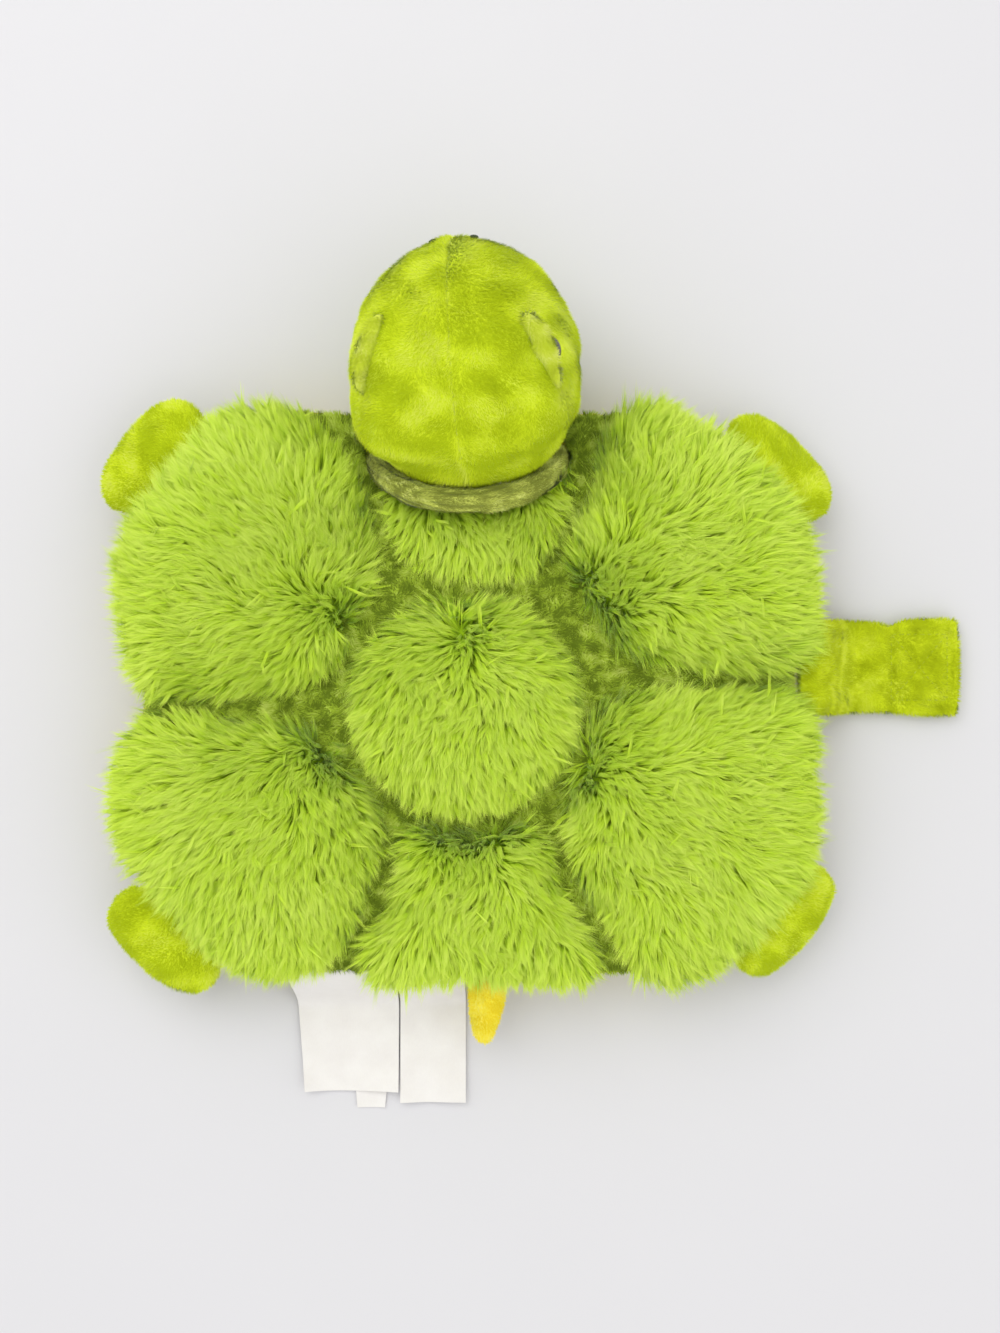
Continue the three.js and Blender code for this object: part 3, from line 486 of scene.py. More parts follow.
def growPile(name, base, plan, comb, wanted):        # long pile: ribbons drawn together into pointed locks
    draw = np.random.default_rng(plan["seed"])
    thinned = 1
    roots, normals = scatterOn(base, plan["perSquare"] * thinned, draw, wanted)
    count = len(roots)
    lockCount = max(8, int(count / thinned / plan["perLock"]))
    heads = draw.permutation(count)[:lockCount]
    tree = KDTree(lockCount)
    for i, head in enumerate(heads):
        tree.insert(roots[head], i)
    tree.balance()
    lock = np.array([tree.find(root)[1] for root in roots])
    path = lockPaths(roots[heads], normals[heads], plan, comb, draw)[lock]
    lockRoot, lockNormal = roots[heads][lock][:, None], normals[heads][lock][:, None]
    reach = draw.uniform(0.72, 1.0, count)[:, None, None]
    gather = (1 - plan["gather"] * stations ** 1.25)[None, :, None]
    loose = draw.normal(0, plan["loose"], (count, 3))[:, None] * (stations ** 1.5)[None, :, None]
    strand = lockRoot + (path - lockRoot) * reach + (roots[:, None] - lockRoot) * gather + loose
    strand[:, 0] = roots - normals * plan["rooted"]
    strand = clearOfHead(strand.reshape(-1, 3)).reshape(strand.shape)
    tangent = unit(np.gradient(strand, axis=1))
    up = unit(lockNormal - (tangent * lockNormal).sum(axis=2, keepdims=True) * tangent)
    twist = np.radians(draw.uniform(-plan["twist"], plan["twist"], count))[:, None, None]
    across = np.cross(tangent, up) * np.cos(twist) + up * np.sin(twist)
    widths = plan["width"] / 2 * np.array([1.0, 0.8])[None, :, None] * draw.uniform(0.75, 1.25, (count, 1, 1))
    left = strand[:, :2] - across[:, :2] * widths
    right = strand[:, :2] + across[:, :2] * widths
    points = np.concatenate([left, right, strand[:, 2:]], axis=1)
    outward = strand - path * reach - lockRoot * (1 - reach)
    outward = outward - (outward * tangent).sum(axis=2, keepdims=True) * tangent
    rounded = unit(0.85 * up + 0.3 * outward / plan["lockRadius"])        # a lock is lit as one round body
    shading = np.concatenate([rounded[:, :2], rounded[:, :2], rounded[:, 2:]], axis=1)
    tints = np.ones((count, 5, 4))        # how far out a point is, its strand's own tone, and its lock's
    tints[:, :, 0] = [0, 0.5, 0, 0.5, 1]
    tints[:, :, 1] = draw.uniform(size=(count, 1))
    tints[:, :, 2] = draw.uniform(size=lockCount)[lock][:, None]
    faces = np.array([[0, 2, 1], [2, 3, 1], [1, 3, 4]])
    facing = np.cross(points[:, 3] - points[:, 1], points[:, 4] - points[:, 1])
    wrong = (facing * up[:, 1]).sum(axis=1) < 0
    points[wrong] = points[wrong][:, [2, 3, 0, 1, 4]]
    ties = np.array([[0, 0], [0, 0.5], [1, 0], [1, 0.5], [0.5, 1]])
    return fibreMesh(name, points, shading, tints, faces, ties)


def loopThrough(corners, steps=24):        # a closed smooth curve through corner points
    corners = np.array(corners, float)
    before, start, end, after = (np.roll(corners, shift, axis=0) for shift in (1, 0, -1, -2))
    pairs = ((before, start), (start, end), (end, after))
    gaps = [np.sqrt(np.linalg.norm(b - a, axis=1))[:, None] for a, b in pairs]
    leave = ((start - before) / gaps[0] - (end - before) / (gaps[0] + gaps[1]) + (end - start) / gaps[1]) * gaps[1]
    meet = ((end - start) / gaps[1] - (after - start) / (gaps[1] + gaps[2]) + (after - end) / gaps[2]) * gaps[1]
    shares = np.arange(steps)[None, :, None] / steps
    cubic = 2 * start - 2 * end + leave + meet
    square = -3 * start + 3 * end - 2 * leave - meet
    curve = start[:, None] + leave[:, None] * shares + square[:, None] * shares ** 2 + cubic[:, None] * shares ** 3
    return curve.reshape(-1, 2)


def reachAround(outline, centre):        # an outline as its distance from a centre at any bearing
    offsets = outline - centre
    bearings = np.arctan2(offsets[:, 1], offsets[:, 0])
    order = np.argsort(bearings)
    lengths = np.hypot(offsets[:, 0], offsets[:, 1])
    return lambda bearing: np.interp(bearing, bearings[order], lengths[order], period=2 * math.pi)


print("plush colours")

# the deep tone is painted shade and the pale one painted light; the patches between them are painted nap shading
plush = {        # photographed colours, the pale one where the nap stands towards the light
    "limePlush": {"deep": (188, 208, 12), "middle": (218, 236, 32), "pale": (232, 244, 88), "patch": 17},
    "strapPlush": {"deep": (188, 204, 12), "middle": (210, 226, 22), "pale": (224, 236, 66), "patch": 13},
    "yellowPlush": {"deep": (250, 226, 40), "middle": (255, 240, 66), "pale": (255, 247, 124), "patch": 20},
    "oliveShell": {"deep": (112, 134, 28), "middle": (172, 198, 54), "pale": (208, 224, 104), "patch": 4},
    # the collar's streaks are painted shade and light along its lengthwise folds
    "collarPlush": {
        "deep": (146, 154, 62), "middle": (203, 212, 94), "pale": (232, 237, 140), "patch": 3, "streaks": (0.14, 1, 1),
    },
    "palePlush": {"deep": (206, 222, 52), "middle": (222, 234, 82), "pale": (234, 242, 124), "patch": 9},
}
plushStops = {"deep": 0.18, "middle": 0.5, "pale": 0.85}
# the pile's deeper green at the root is painted shade between the locks, its paler tip painted light
longPile = {"root": (174, 208, 34), "middle": (212, 241, 58), "tip": (232, 251, 112), "ground": (150, 184, 30)}


def plushRamp(paint, share, tones):
    stops = [(place, linear(*tones[tone])) for tone, place in plushStops.items()]
    paint.colour(paint.ramp(share.held(), stops))


def plushPaint(kind):        # the cloth under the nap
    tones = plush[kind]
    paint = Paint(kind, {"Roughness": 0.9, "Sheen Weight": 0.25, "Sheen Roughness": 0.5, "Specular IOR Level": 0.15})
    at = paint.stretched(tones["streaks"]) if "streaks" in tones else None
    # painted nap shading: large patches pick between the deep and the pale tone
    patch = paint.noise(tones["patch"], 2.0, 0.45, at=at)
    fine = paint.noise(0.7, 2.0, 0.6, at=at)
    plushRamp(paint, patch * 1.5 - 0.35 + (fine - 0.5) * 0.7, tones)
    paint.bump(fine + paint.noise(2.6, 2.0) * 0.8, 0.5, 0.7)
    paint.roughness(0.78 + fine * 0.2)
    return paint


def napPaint(kind):        # the fibres of the nap, with painted nap shading in patches and tips painted paler as painted light
    tones = plush[kind]
    finish = {"Roughness": 0.85, "Sheen Weight": 0.45, "Sheen Roughness": 0.4, "Specular IOR Level": 0.15}
    paint = Paint(kind + "Nap", finish)
    at = paint.stretched(tones["streaks"]) if "streaks" in tones else None
    patch = paint.noise(tones["patch"], 2.0, 0.45, at=at)
    share = patch * 0.7 + paint.tint(2) * 0.65 - 0.37 + (paint.tint(1) - 0.5) * 0.4 + (paint.tint(0) - 0.5) * 0.34
    plushRamp(paint, share, tones)
    paint.roughness(0.8 + paint.tint(1) * 0.15)
    return paint


def twistedThread(name, plan):        # sewing thread with its twist, its grooves painted darker as painted shade and its ridges paler as painted light
    paint = Paint(name, {"Roughness": 0.7, "Sheen Weight": plan["sheen"]})
    places = {"Vector": paint.place(), "Scale": plan["twist"]}
    twist = paint.add("ShaderNodeTexWave", {"bands_direction": "DIAGONAL"}, places)
    paint.colour(paint.mix(twist, linear(*plan["dark"]), linear(*plan["light"])))
    paint.bump(twist, plan["relief"], plan["depth"])
    return paint


def pilePaint(name):        # long fibres, painted paler at their tips as painted light and deeper green at their roots as painted shade between the locks
    paint = Paint(name, {"Roughness": 0.7, "Sheen Weight": 0.15, "Sheen Roughness": 0.4, "Specular IOR Level": 0.2})
    share = paint.tint(0) * 0.85 + (paint.tint(1) - 0.5) * 0.22 + (paint.tint(2) - 0.5) * 0.2
    share = share + (paint.noise(24, 2.0) - 0.5) * 0.5
    stops = [(place, linear(*longPile[tone])) for tone, place in (("root", 0.0), ("middle", 0.42), ("tip", 0.95))]
    paint.colour(paint.ramp(share.held(), stops))
    paint.roughness(0.62 + paint.tint(1) * 0.25)
    return paint


paints = {kind: plushPaint(kind) for kind in plush}
naps = {kind: napPaint(kind) for kind in plush}
furPaint = pilePaint("greenPile")
groundPaint = Paint("pileGround", {"Roughness": 0.95, "Specular IOR Level": 0.1})
groundMix = groundPaint.noise(1.2, 3.0)
groundPaint.colour(groundPaint.mix(groundMix, linear(*longPile["ground"]), linear(*longPile["root"])))
groundPaint.bump(groundMix, 0.6, 0.8)

print("head frame and its clearances")

head = {
    "pivot": (0.8, 116, 48), "tilt": 35, "lean": 7.5, "roll": -4, "ball": 42, "halfWidth": 43.5, "front": 51,
    "rear": 43, "crown": 39, "chin": 35, "swellFrom": 57, "swellTo": 82, "rearPower": 2.7, "rearShare": 0.6,
    "segments": 144, "rings": 112, "seamDepth": 0.2, "seamWidth": 1.2, "drawnIn": 1, "wall": 1.2,
    "cheek": (86, 24), "cheekSwell": 1.3, "cheekWidth": 5.5, "napFrom": 46,
    "nap": {"seed": 11, "perSquare": 4.6, "length": 2.4, "width": 0.36, "lift": 34, "swirl": 21, "stray": 0.75},
}
cupRoom = {        # how far from the pivot the cup and the collar keep other cloth
    "inner": 48.6, "collar": 3.6, "collarAngle": 45, "collarSpread": 8, "past": 40, "endFrom": 52, "endTo": 62,
}
headPivot = np.array(head["pivot"])
neckAxis = np.array([0, math.cos(math.radians(head["tilt"])), math.sin(math.radians(head["tilt"]))])
neckUp = np.array([0, -neckAxis[2], neckAxis[1]])


def leaned(vectors, back=False):        # the head's roll about the neck, then its lean about the neck's own upright
    turns = [(neckAxis, head["roll"]), (neckUp, head["lean"])]
    if back:
        turns = [(axis, -turn) for axis, turn in reversed(turns)]
    for axis, turn in turns:
        axes = np.broadcast_to(axis, vectors.shape)
        vectors = turnedAbout(vectors, axes, np.full(len(vectors), math.radians(turn)))
    return vectors


def angleFromNeck(directions):        # in degrees
    return np.degrees(np.arccos(np.clip(-directions @ neckAxis, -1, 1)))


def headReach(directions):        # how far the head goes from its pivot, before it is leaned
    x, y, z = directions.T
    power = 2 + (head["rearPower"] - 2) * smooth(0, head["rearShare"], -y)
    shares = [
        np.abs(x / head["halfWidth"]), np.abs(y / np.where(y > 0, head["front"], head["rear"])),
        np.abs(z / np.where(z > 0, head["crown"], head["chin"])),
    ]
    swollen = sum(share ** power for share in shares) ** (-1 / power)
    blend = smooth(head["swellFrom"], head["swellTo"], angleFromNeck(directions))
    return head["ball"] + (swollen - head["ball"]) * blend


def clearOfHead(points, margin=1.2):        # moves points out of the neck's and the head's room
    offsets = points - headPivot
    length = np.linalg.norm(offsets, axis=1)
    directions = unit(offsets)
    fromNeck = angleFromNeck(directions)
    cup = cupRoom["inner"] + cupRoom["collar"] * bell(fromNeck - cupRoom["collarAngle"], cupRoom["collarSpread"])
    cup = cup + (cupRoom["past"] - cup) * smooth(cupRoom["endFrom"], cupRoom["endTo"], fromNeck)
    room = np.maximum(cup, headReach(leaned(directions, back=True)) + margin)
    return headPivot + directions * np.maximum(length, room)[:, None]


print("pillow covers")

pillow = {
    "halfWidth": 132, "halfLength": 108, "seamHeight": 26, "crown": 12, "topFlat": 0.45, "bottomFlat": 0.7,
    "corners": [
        (0.965, 0.05), (0.99, 0.33), (0.96, 0.57), (0.855, 0.78), (0.5, 0.985), (0, 0.95), (-0.58, 0.985),
        (-0.83, 0.77), (-0.965, 0.53), (-0.99, 0.27), (-0.94, -0.03), (-1.01, -0.42), (-0.86, -0.76),
        (-0.55, -0.985), (0, -1), (0.55, -1), (0.865, -0.79), (0.985, -0.42),
    ],
    "segments": 160, "rings": 64, "voxel": 4.6, "pressure": 4, "quality": 4, "steps": 16, "swell": 4.5,
    "foldFrom": 8, "foldTo": 76, "foldHeight": 32, "wall": 1.4, "drawnIn": 0.3, "clearance": 0.5,
    "pinned": 3.5, "pinch": 1.0, "pinchWidth": 2.2, "pucker": 0.7, "puckerSize": 15,
    "shellNap": {"seed": 21, "perSquare": 3.6, "length": 3.0, "width": 0.5, "lift": 42, "swirl": 9, "stray": 1.3},
    "bellyNap": {"seed": 31, "perSquare": 1.3, "length": 2.0, "width": 0.56, "lift": 48, "swirl": 26, "stray": 0.7},
}
pillowSize = np.array([pillow["halfWidth"], pillow["halfLength"]])
pillowOutline = loopThrough(np.array(pillow["corners"]) * pillowSize)
pillowReach = reachAround(pillowOutline, np.zeros(2))


def rollOff(share, flat):        # a flat middle that rounds off to nothing at the rim
    return np.sqrt(np.maximum(0, 1 - np.maximum(0, (share - flat) / (1 - flat)) ** 2))


def pillowShare(x, y):
    return np.minimum(1, np.hypot(x, y) / pillowReach(np.arctan2(y, x)))


def pillowTop(x, y):
    return pillow["seamHeight"] + pillow["crown"] * rollOff(pillowShare(x, y), pillow["topFlat"])


def pillowForm(ball):
    bearing = np.arctan2(ball[:, 1], ball[:, 0])
    share = np.hypot(ball[:, 0], ball[:, 1])
    reach = (pillowReach(bearing) - pillow["drawnIn"]) * share
    over = pillow["seamHeight"] + (pillow["crown"] - 1) * rollOff(share, pillow["topFlat"])
    under = pillow["seamHeight"] - pillow["seamHeight"] * rollOff(share, pillow["bottomFlat"])
    height = np.where(ball[:, 2] > 0, over, under)
    points = np.column_stack([reach * np.cos(bearing), reach * np.sin(bearing), height])
    return clearOfHead(points, pillow["clearance"])


def makePillow():
    piece = ballForm("pillow", pillow["segments"], pillow["rings"], pillowForm)
    seamHeight = pillow["seamHeight"]

    def onSeam(points):
        near = np.abs(points[:, 2] - seamHeight) < pillow["pinned"]
        return near & (pillowShare(points[:, 0], points[:, 1]) > 0.93)

    stuffed(piece, pillow, onSeam)
    points = clearOfHead(pointsOf(piece), pillow["clearance"])
    share = pillowShare(points[:, 0], points[:, 1])
    pinch = pillow["pinch"] * bell(points[:, 2] - seamHeight, pillow["pinchWidth"]) * smooth(0.8, 0.95, share)
    puckers = pillow["pucker"] * ripple(points * [1, 1, 0.2], pillow["puckerSize"], 5) * smooth(0.72, 0.92, share)
    points[:, :2] -= unit(points[:, :2]) * (pinch + puckers * 0.5)[:, None]
    points[:, 2] += puckers * np.where(points[:, 2] > seamHeight, 1, 0.3)
    low = points[:, 2] < 1.0        # pressed flat on the floor
    points[low, 2] = np.maximum(points[low, 2] * 0.4, 0.1)
    placePoints(piece, points)
    return piece


pillowPiece = makePillow()
shells = {side: copyOf(pillowPiece, "shell" + side) for side in sides}
bellies = {side: copyOf(pillowPiece, "belly" + side) for side in sides}
for side, sign in sides.items():
    for half, up in ((shells[side], 1), (bellies[side], -1)):
        cutAway(half, (0, 0, pillow["seamHeight"]), (0, 0, -up))
        cutAway(half, (0, 0, 0), (-sign, 0, 0))
bpy.data.objects.remove(pillowPiece, do_unlink=True)


def foldAcross(piece):        # a wing's piece is fixed where it lies; its fold under the belly is not made here
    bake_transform(piece)


print("fur cushions")

cushions = {
    "furFrontLeft": {
        "node": "fur_front_left", "side": "Left", "rise": 18, "centre": (-0.64, 0.52), "seed": 41,
        "swirl": (-45, 25), "drift": (0, 0), "corners": [
            (-0.6, 0.94), (-0.455, 0.92), (-0.36, 0.81), (-0.31, 0.7), (-0.26, 0.45), (-0.29, 0.29), (-0.4, 0.06),
            (-0.52, 0.01), (-0.88, 0.02), (-0.925, 0.2), (-0.95, 0.4), (-0.91, 0.57), (-0.81, 0.74), (-0.71, 0.88),
        ],
    },
    "furFrontRight": {
        "node": "fur_front_right", "side": "Right", "rise": 18, "centre": (0.64, 0.52), "seed": 42,
        "swirl": (45, 33), "drift": (0, 0), "corners": [
            (0.5, 0.955), (0.65, 0.88), (0.77, 0.79), (0.88, 0.65), (0.94, 0.5), (0.955, 0.3), (0.935, 0.11),
            (0.65, 0.09), (0.46, 0.15), (0.4, 0.23), (0.31, 0.38), (0.3, 0.47), (0.37, 0.67), (0.415, 0.87),
        ],
    },
    "furRearLeft": {
        "node": "fur_rear_left", "side": "Left", "rise": 18, "centre": (-0.64, -0.52), "seed": 43,
        "swirl": (-51, -19), "drift": (0, 0), "corners": [
            (-0.885, -0.12), (-0.62, -0.12), (-0.43, -0.14), (-0.36, -0.23), (-0.26, -0.4), (-0.24, -0.5),
            (-0.29, -0.67), (-0.36, -0.87), (-0.47, -0.94), (-0.61, -0.925), (-0.74, -0.83), (-0.86, -0.66),
            (-0.94, -0.52), (-0.96, -0.34),
        ],
    },
    "furRearRight": {
        "node": "fur_rear_right", "side": "Right", "rise": 18, "centre": (0.64, -0.52), "seed": 44,
        "swirl": (42, -25), "drift": (0, 0), "corners": [
            (0.41, -0.04), (0.66, -0.01), (0.92, -0.04), (0.945, -0.16), (0.955, -0.38), (0.95, -0.57),
            (0.885, -0.7), (0.76, -0.86), (0.63, -0.955), (0.52, -0.96), (0.46, -0.87), (0.34, -0.65),
            (0.295, -0.46), (0.31, -0.25), (0.36, -0.1),
        ],
    },
    "furFront": {
        "node": "fur_front", "side": None, "rise": 11, "centre": (0.04, 0.66), "seed": 45,
        "swirl": (6, 95), "drift": (0, -0.7), "corners": [
            (-0.23, 0.67), (-0.17, 0.49), (-0.08, 0.425), (0.045, 0.4), (0.19, 0.42), (0.235, 0.49), (0.28, 0.63),
            (0.32, 0.8), (0.3, 0.9), (0.1, 0.9), (-0.1, 0.88), (-0.22, 0.8),
        ],
    },
    "furCentre": {
        "node": "fur_centre", "side": None, "rise": 20, "centre": (0, -0.05), "seed": 46,
        "swirl": (0, 25), "drift": (0, -0.4), "corners": [
            (0.315 * math.cos(math.radians(turn)), -0.05 + 0.365 * math.sin(math.radians(turn)))
            for turn in range(0, 360, 36)
        ],
    },
    "furRear": {
        "node": "fur_rear", "side": None, "rise": 14, "centre": (0.03, -0.74), "seed": 47,
        "swirl": (5, -42), "drift": (0, -0.6), "corners": [
            (-0.16, -0.475), (0.015, -0.5), (0.195, -0.475), (0.235, -0.59), (0.315, -0.82), (0.36, -0.945),
            (0.21, -0.96), (-0.04, -0.96), (-0.26, -0.945), (-0.2, -0.73), (-0.165, -0.56),
        ],
    },
}
cushionShape = {
    "drawnIn": 3, "pile": 6, "sunk": 3, "thickness": 7, "clearance": 2, "domePower": 2.6, "domeEdge": 0.55,
    "segments": 72, "rings": 48, "pileFrom": 4.5, "flowReach": 32, "swirlStray": 6, "swirlSize": 18, "covers": 11,
}


def cushionOutline(plan):
    return loopThrough(np.array(plan["corners"]) * pillowSize)


def insideOutline(plan, x, y, drawnIn):
    centre = np.array(plan["centre"]) * pillowSize
    reach = reachAround(cushionOutline(plan), centre)
    return np.hypot(x - centre[0], y - centre[1]) < reach(np.arctan2(y - centre[1], x - centre[0])) - drawnIn


def lengthAt(points):        # the pile is shorter beside the head, and hangs over the rim
    near = np.linalg.norm(points - headPivot, axis=1)
    over = smooth(0.76, 0.95, pillowShare(points[:, 0], points[:, 1]))
    return (0.8 + 0.2 * smooth(48, 66, near)) * (1 + 0.42 * over)


def makeCushion(name, plan):
    centre = np.array(plan["centre"]) * pillowSize
    outlineReach = reachAround(cushionOutline(plan), centre)

    def shape(ball):
        bearing = np.arctan2(ball[:, 1], ball[:, 0])
        share = np.hypot(ball[:, 0], ball[:, 1])
        reach = (outlineReach(bearing) - cushionShape["drawnIn"]) * share
        x = centre[0] + reach * np.cos(bearing)
        y = centre[1] + reach * np.sin(bearing)
        swell = np.maximum(0, 1 - share ** cushionShape["domePower"]) ** cushionShape["domeEdge"]
        sunk = cushionShape["sunk"]
        top = pillowTop(x, y) + (plan["rise"] - cushionShape["pile"] + sunk) * swell - sunk
        z = np.where(ball[:, 2] > 0, top, pillowTop(x, y) - cushionShape["thickness"])
        return clearOfHead(np.column_stack([x, y, z]), cushionShape["clearance"])

    backing = ballForm(name + "Cushion", cushionShape["segments"], cushionShape["rings"], shape)

    def comb(points):        # away from the swirl, more so the farther out
        strays = [ripple(points, cushionShape["swirlSize"], seed) for seed in (1, 2)]
        away = points[:, :2] - plan["swirl"] + cushionShape["swirlStray"] * np.column_stack(strays)
        reach = cushionShape["flowReach"]
        flow = away / reach + np.array(plan["drift"]) * np.minimum(1, np.linalg.norm(away, axis=1) / reach)[:, None]
        return np.column_stack([flow, np.zeros(len(points))]) + [1e-6, 0, 0]

    def upper(points, normals):
        above = points[:, 2] > pillowTop(points[:, 0], points[:, 1]) - cushionShape["pileFrom"]
        return above & (normals[:, 2] > -0.2)

    middle = pointsOf(backing)[:, 1].mean()
    halves = {name: upper}
    if plan["side"]:        # a wing's cushion has its pile in two pieces
        halves = {
            name: lambda points, normals: upper(points, normals) & (points[:, 1] >= middle),
            name + "Rear": lambda points, normals: upper(points, normals) & (points[:, 1] < middle),
        }
    style = {**pile, "seed": plan["seed"], "swirl": plan["swirl"], "lengthAt": lengthAt}
    strands = [growPile(word, backing, style, comb, wanted) for word, wanted in halves.items()]
    groundPaint.onto(backing)
    for piece in strands:
        furPaint.onto(piece)
        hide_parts(plan["node"])
    for piece in (backing, *strands):
        if plan["side"]:
            foldAcross(piece)
        else:
            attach(piece, "spine")


for name, plan in cushions.items():
    makeCushion(name, plan)
    print("  " + name)

print("nap of the shell and the belly")


def shellShows(points, normals):        # only the channels and the rim of the shell need a nap
    covered = np.zeros(len(points), bool)
    for plan in cushions.values():
        covered |= insideOutline(plan, points[:, 0], points[:, 1], cushionShape["covers"])
    return ~covered


def belowSeam(points, normals):
    return points[:, 2] < pillow["seamHeight"] - 4


def outDown(points):        # the covers' nap lies outwards and down
    return unit(points * [1, 1, 0] + [1e-6, 0, 0]) - [0, 0, 1]


for side in sides:
    shell, belly = shells[side], bellies[side]
    shellNap = growNap("shellNap" + side, shell, pillow["shellNap"], outDown, shellShows)
    bellyNap = growNap("bellyNap" + side, belly, pillow["bellyNap"], outDown, belowSeam)
    for piece, kind, slotName in ((shell, "oliveShell", "olive_pile"), (belly, "yellowPlush", "yellow_pile")):
        applied(piece, "clothWall", "SOLIDIFY", thickness=pillow["wall"] * mm, offset=-1)
        paints[kind].onto(piece)
    naps["oliveShell"].onto(shellNap)
    naps["yellowPlush"].onto(bellyNap)
    word = side.lower()
    for piece in (shell, belly, shellNap, bellyNap):
        foldAcross(piece)
    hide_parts("shell_base_" + word, "shell_base_centre", "stuffing_" + word, "stuffing_centre")
    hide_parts("belly_" + word, "belly_centre", "fold_gusset_" + word)

print("head")


def headDirection(bearing, elevation):
    level = math.cos(math.radians(elevation))
    turn = math.radians(bearing)
    return np.array([math.sin(turn) * level, math.cos(turn) * level, math.sin(math.radians(elevation))])


def headForm(ball):
    directions = unit(ball[:, [2, 0, 1]])        # the poles lie at the ears, so the middle ring is the seam
    reach = headReach(directions)
    x = directions[:, 0] * reach
    shown = smooth(50, 60, angleFromNeck(directions))        # inside the cup the head stays as it is
    seam = -head["seamDepth"] * bell(x, head["seamWidth"]) + 0.35 * bell(np.abs(x) - 4, 2.5)
    soft = 0.55 * ripple(directions * 40, 26, 61) + 0.25 * ripple(directions * 40, 11, 62)
    bearing, elevation = head["cheek"]
    for sign in sides.values():        # the cheeks swell below the eyes
        away = np.linalg.norm(directions - headDirection(sign * bearing, elevation), axis=1) * head["rear"]
        soft = soft + head["cheekSwell"] * bell(away, head["cheekWidth"])
    return headPivot + leaned(directions * (reach + shown * (seam + soft - head["drawnIn"]))[:, None])


def onHead(directions, lift):        # points over the head's surface, before the lean, and the normals there
    directions = unit(np.atleast_2d(directions))
    across = unit(np.cross([0, 0, 1], directions))
    along = unit(np.cross(directions, across))
    beside = (directions, unit(directions + across * 1e-3), unit(directions + along * 1e-3))
    surface = [towards * headReach(towards)[:, None] for towards in beside]
    normals = unit(np.cross(surface[1] - surface[0], surface[2] - surface[0]))
    normals *= np.sign((normals * directions).sum(axis=1))[:, None]
    return surface[0] + normals * lift, normals


face = {
    "bearing": 86, "elevation": 34, "eyeRadius": 5.2, "eyeDome": 2.8, "eyeSeat": -1.7, "bare": 6.2,
    "shank": 2, "shankLength": 9, "eyeBack": 0.4,
    "lidLift": 0.3, "lidEnd": 0.45, "lidFullest": 0.4, "lidSpread": 0.34,
    "lidPlaces": {-1: ((52, 44), (77, 40), (101, 34)), 1: ((61, 45), (85, 40), (107, 33))},
    "lidWidth": 3.8, "lidHeight": 3.3, "lidNap": {
        "seed": 71, "perSquare": 5, "length": 2.5, "width": 0.34, "lift": 36, "swirl": 12, "stray": 1.1,
    },
    "nostrilBearing": 9, "nostrilElevation": 10, "nostril": (1.6, 1.2, 0.8), "nostrilSeat": -0.5,
    "mouthHalfAngle": 30, "mouthElevation": -22, "mouthLift": 7, "stitches": 13, "thread": 0.5625,
}


def makeHead():
    whole = ballForm("headLeft", head["segments"], head["rings"], headForm)

    def comb(points):        # back from the front, and out to both sides of the seam
        x, y = unit(leaned(points - headPivot, back=True)).T[:2]
        side = np.tanh(x * 22) * (0.6 + 1.3 * smooth(0.35, 0.9, y))
        return np.column_stack([side, -np.ones(len(points)), np.full(len(points), -0.4)])

    def shows(points, normals):        # no nap in the neck's cup or over the eyes
        towards = unit(points - headPivot)
        places = [headDirection(sign * face["bearing"], face["elevation"]) for sign in sides.values()]
        clearOfEyes = (towards @ leaned(np.array(places)).T).max(axis=1) < math.cos(math.radians(face["bare"]))
        return (angleFromNeck(towards) > head["napFrom"]) & clearOfEyes

    def shade(points):        # painted nap shading: lighter and darker brushed patches, and a paler line where the nap parts at the seam, painted light
        x, y = leaned(points - headPivot, back=True).T[:2]
        patches = 0.3 * bell(x + 11, 9) * bell(y + 4, 26) - 0.3 * bell(x - 13, 12) * bell(y - 14, 16)
        patches = patches - 0.3 * bell(x + 27, 8) * bell(y + 8, 16) - 0.28 * bell(x - 16, 14) * bell(y + 28, 9)
        return 0.55 * bell(x, 0.9) + patches

    nap = growNap("headNap", whole, {**head["nap"], "shade": shade}, comb, shows)
    pick(whole)
    bpy.ops.object.mode_set(mode="EDIT")
    bpy.ops.mesh.select_all(action="DESELECT")
    bpy.ops.object.mode_set(mode="OBJECT")
    local = leaned(pointsOf(whole) - headPivot, back=True)
    for polygon in whole.data.polygons:
        polygon.select = bool(np.mean(local[list(polygon.vertices), 0]) > 0)
    bpy.ops.object.mode_set(mode="EDIT")
    bpy.ops.mesh.separate(type="SELECTED")
    bpy.ops.object.mode_set(mode="OBJECT")
    other = next(o for o in bpy.context.selected_objects if o != whole)
    other.name = other.data.name = "headRight"
    for piece, word in ((whole, "left"), (other, "right")):
        applied(piece, "clothWall", "SOLIDIFY", thickness=head["wall"] * mm, offset=-1)
        paints["limePlush"].onto(piece)
        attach(piece, "head")
        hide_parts("head_" + word, "head_stuffing")
    naps["limePlush"].onto(nap)
    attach(nap, "head")


makeHead()

print("eyes, lids, nostrils and mouth")


def standOnHead(points, bearing, elevation, lift):        # a shape made along +Z, stood along the head's normal
    foot, normal = onHead(headDirection(bearing, elevation), lift)
    turn = Vector((0, 0, 1)).rotation_difference(Vector(normal[0]))
    turned = points @ np.array(turn.to_matrix()).T
    return headPivot + leaned(foot + turned)


def eyeForm(ball):        # a low dome on a shank
    rim = np.hypot(ball[:, 0], ball[:, 1])
    spin = unit(ball[:, :2] + 1e-12)
    top = ball[:, 2] >= 0
    back = face["shank"] + (face["eyeRadius"] - face["shank"]) * smooth(0.8, 1, rim)
    radius = np.where(top, face["eyeRadius"] * rim, back)
    radius = np.where(ball[:, 2] < -0.97, radius * rim * 3, radius)
    depth = face["shankLength"] * (1 - rim) + face["eyeBack"] * smooth(0, 0.3, -ball[:, 2])
    return np.column_stack([spin * radius[:, None], np.where(top, face["eyeDome"] * ball[:, 2], -depth)])


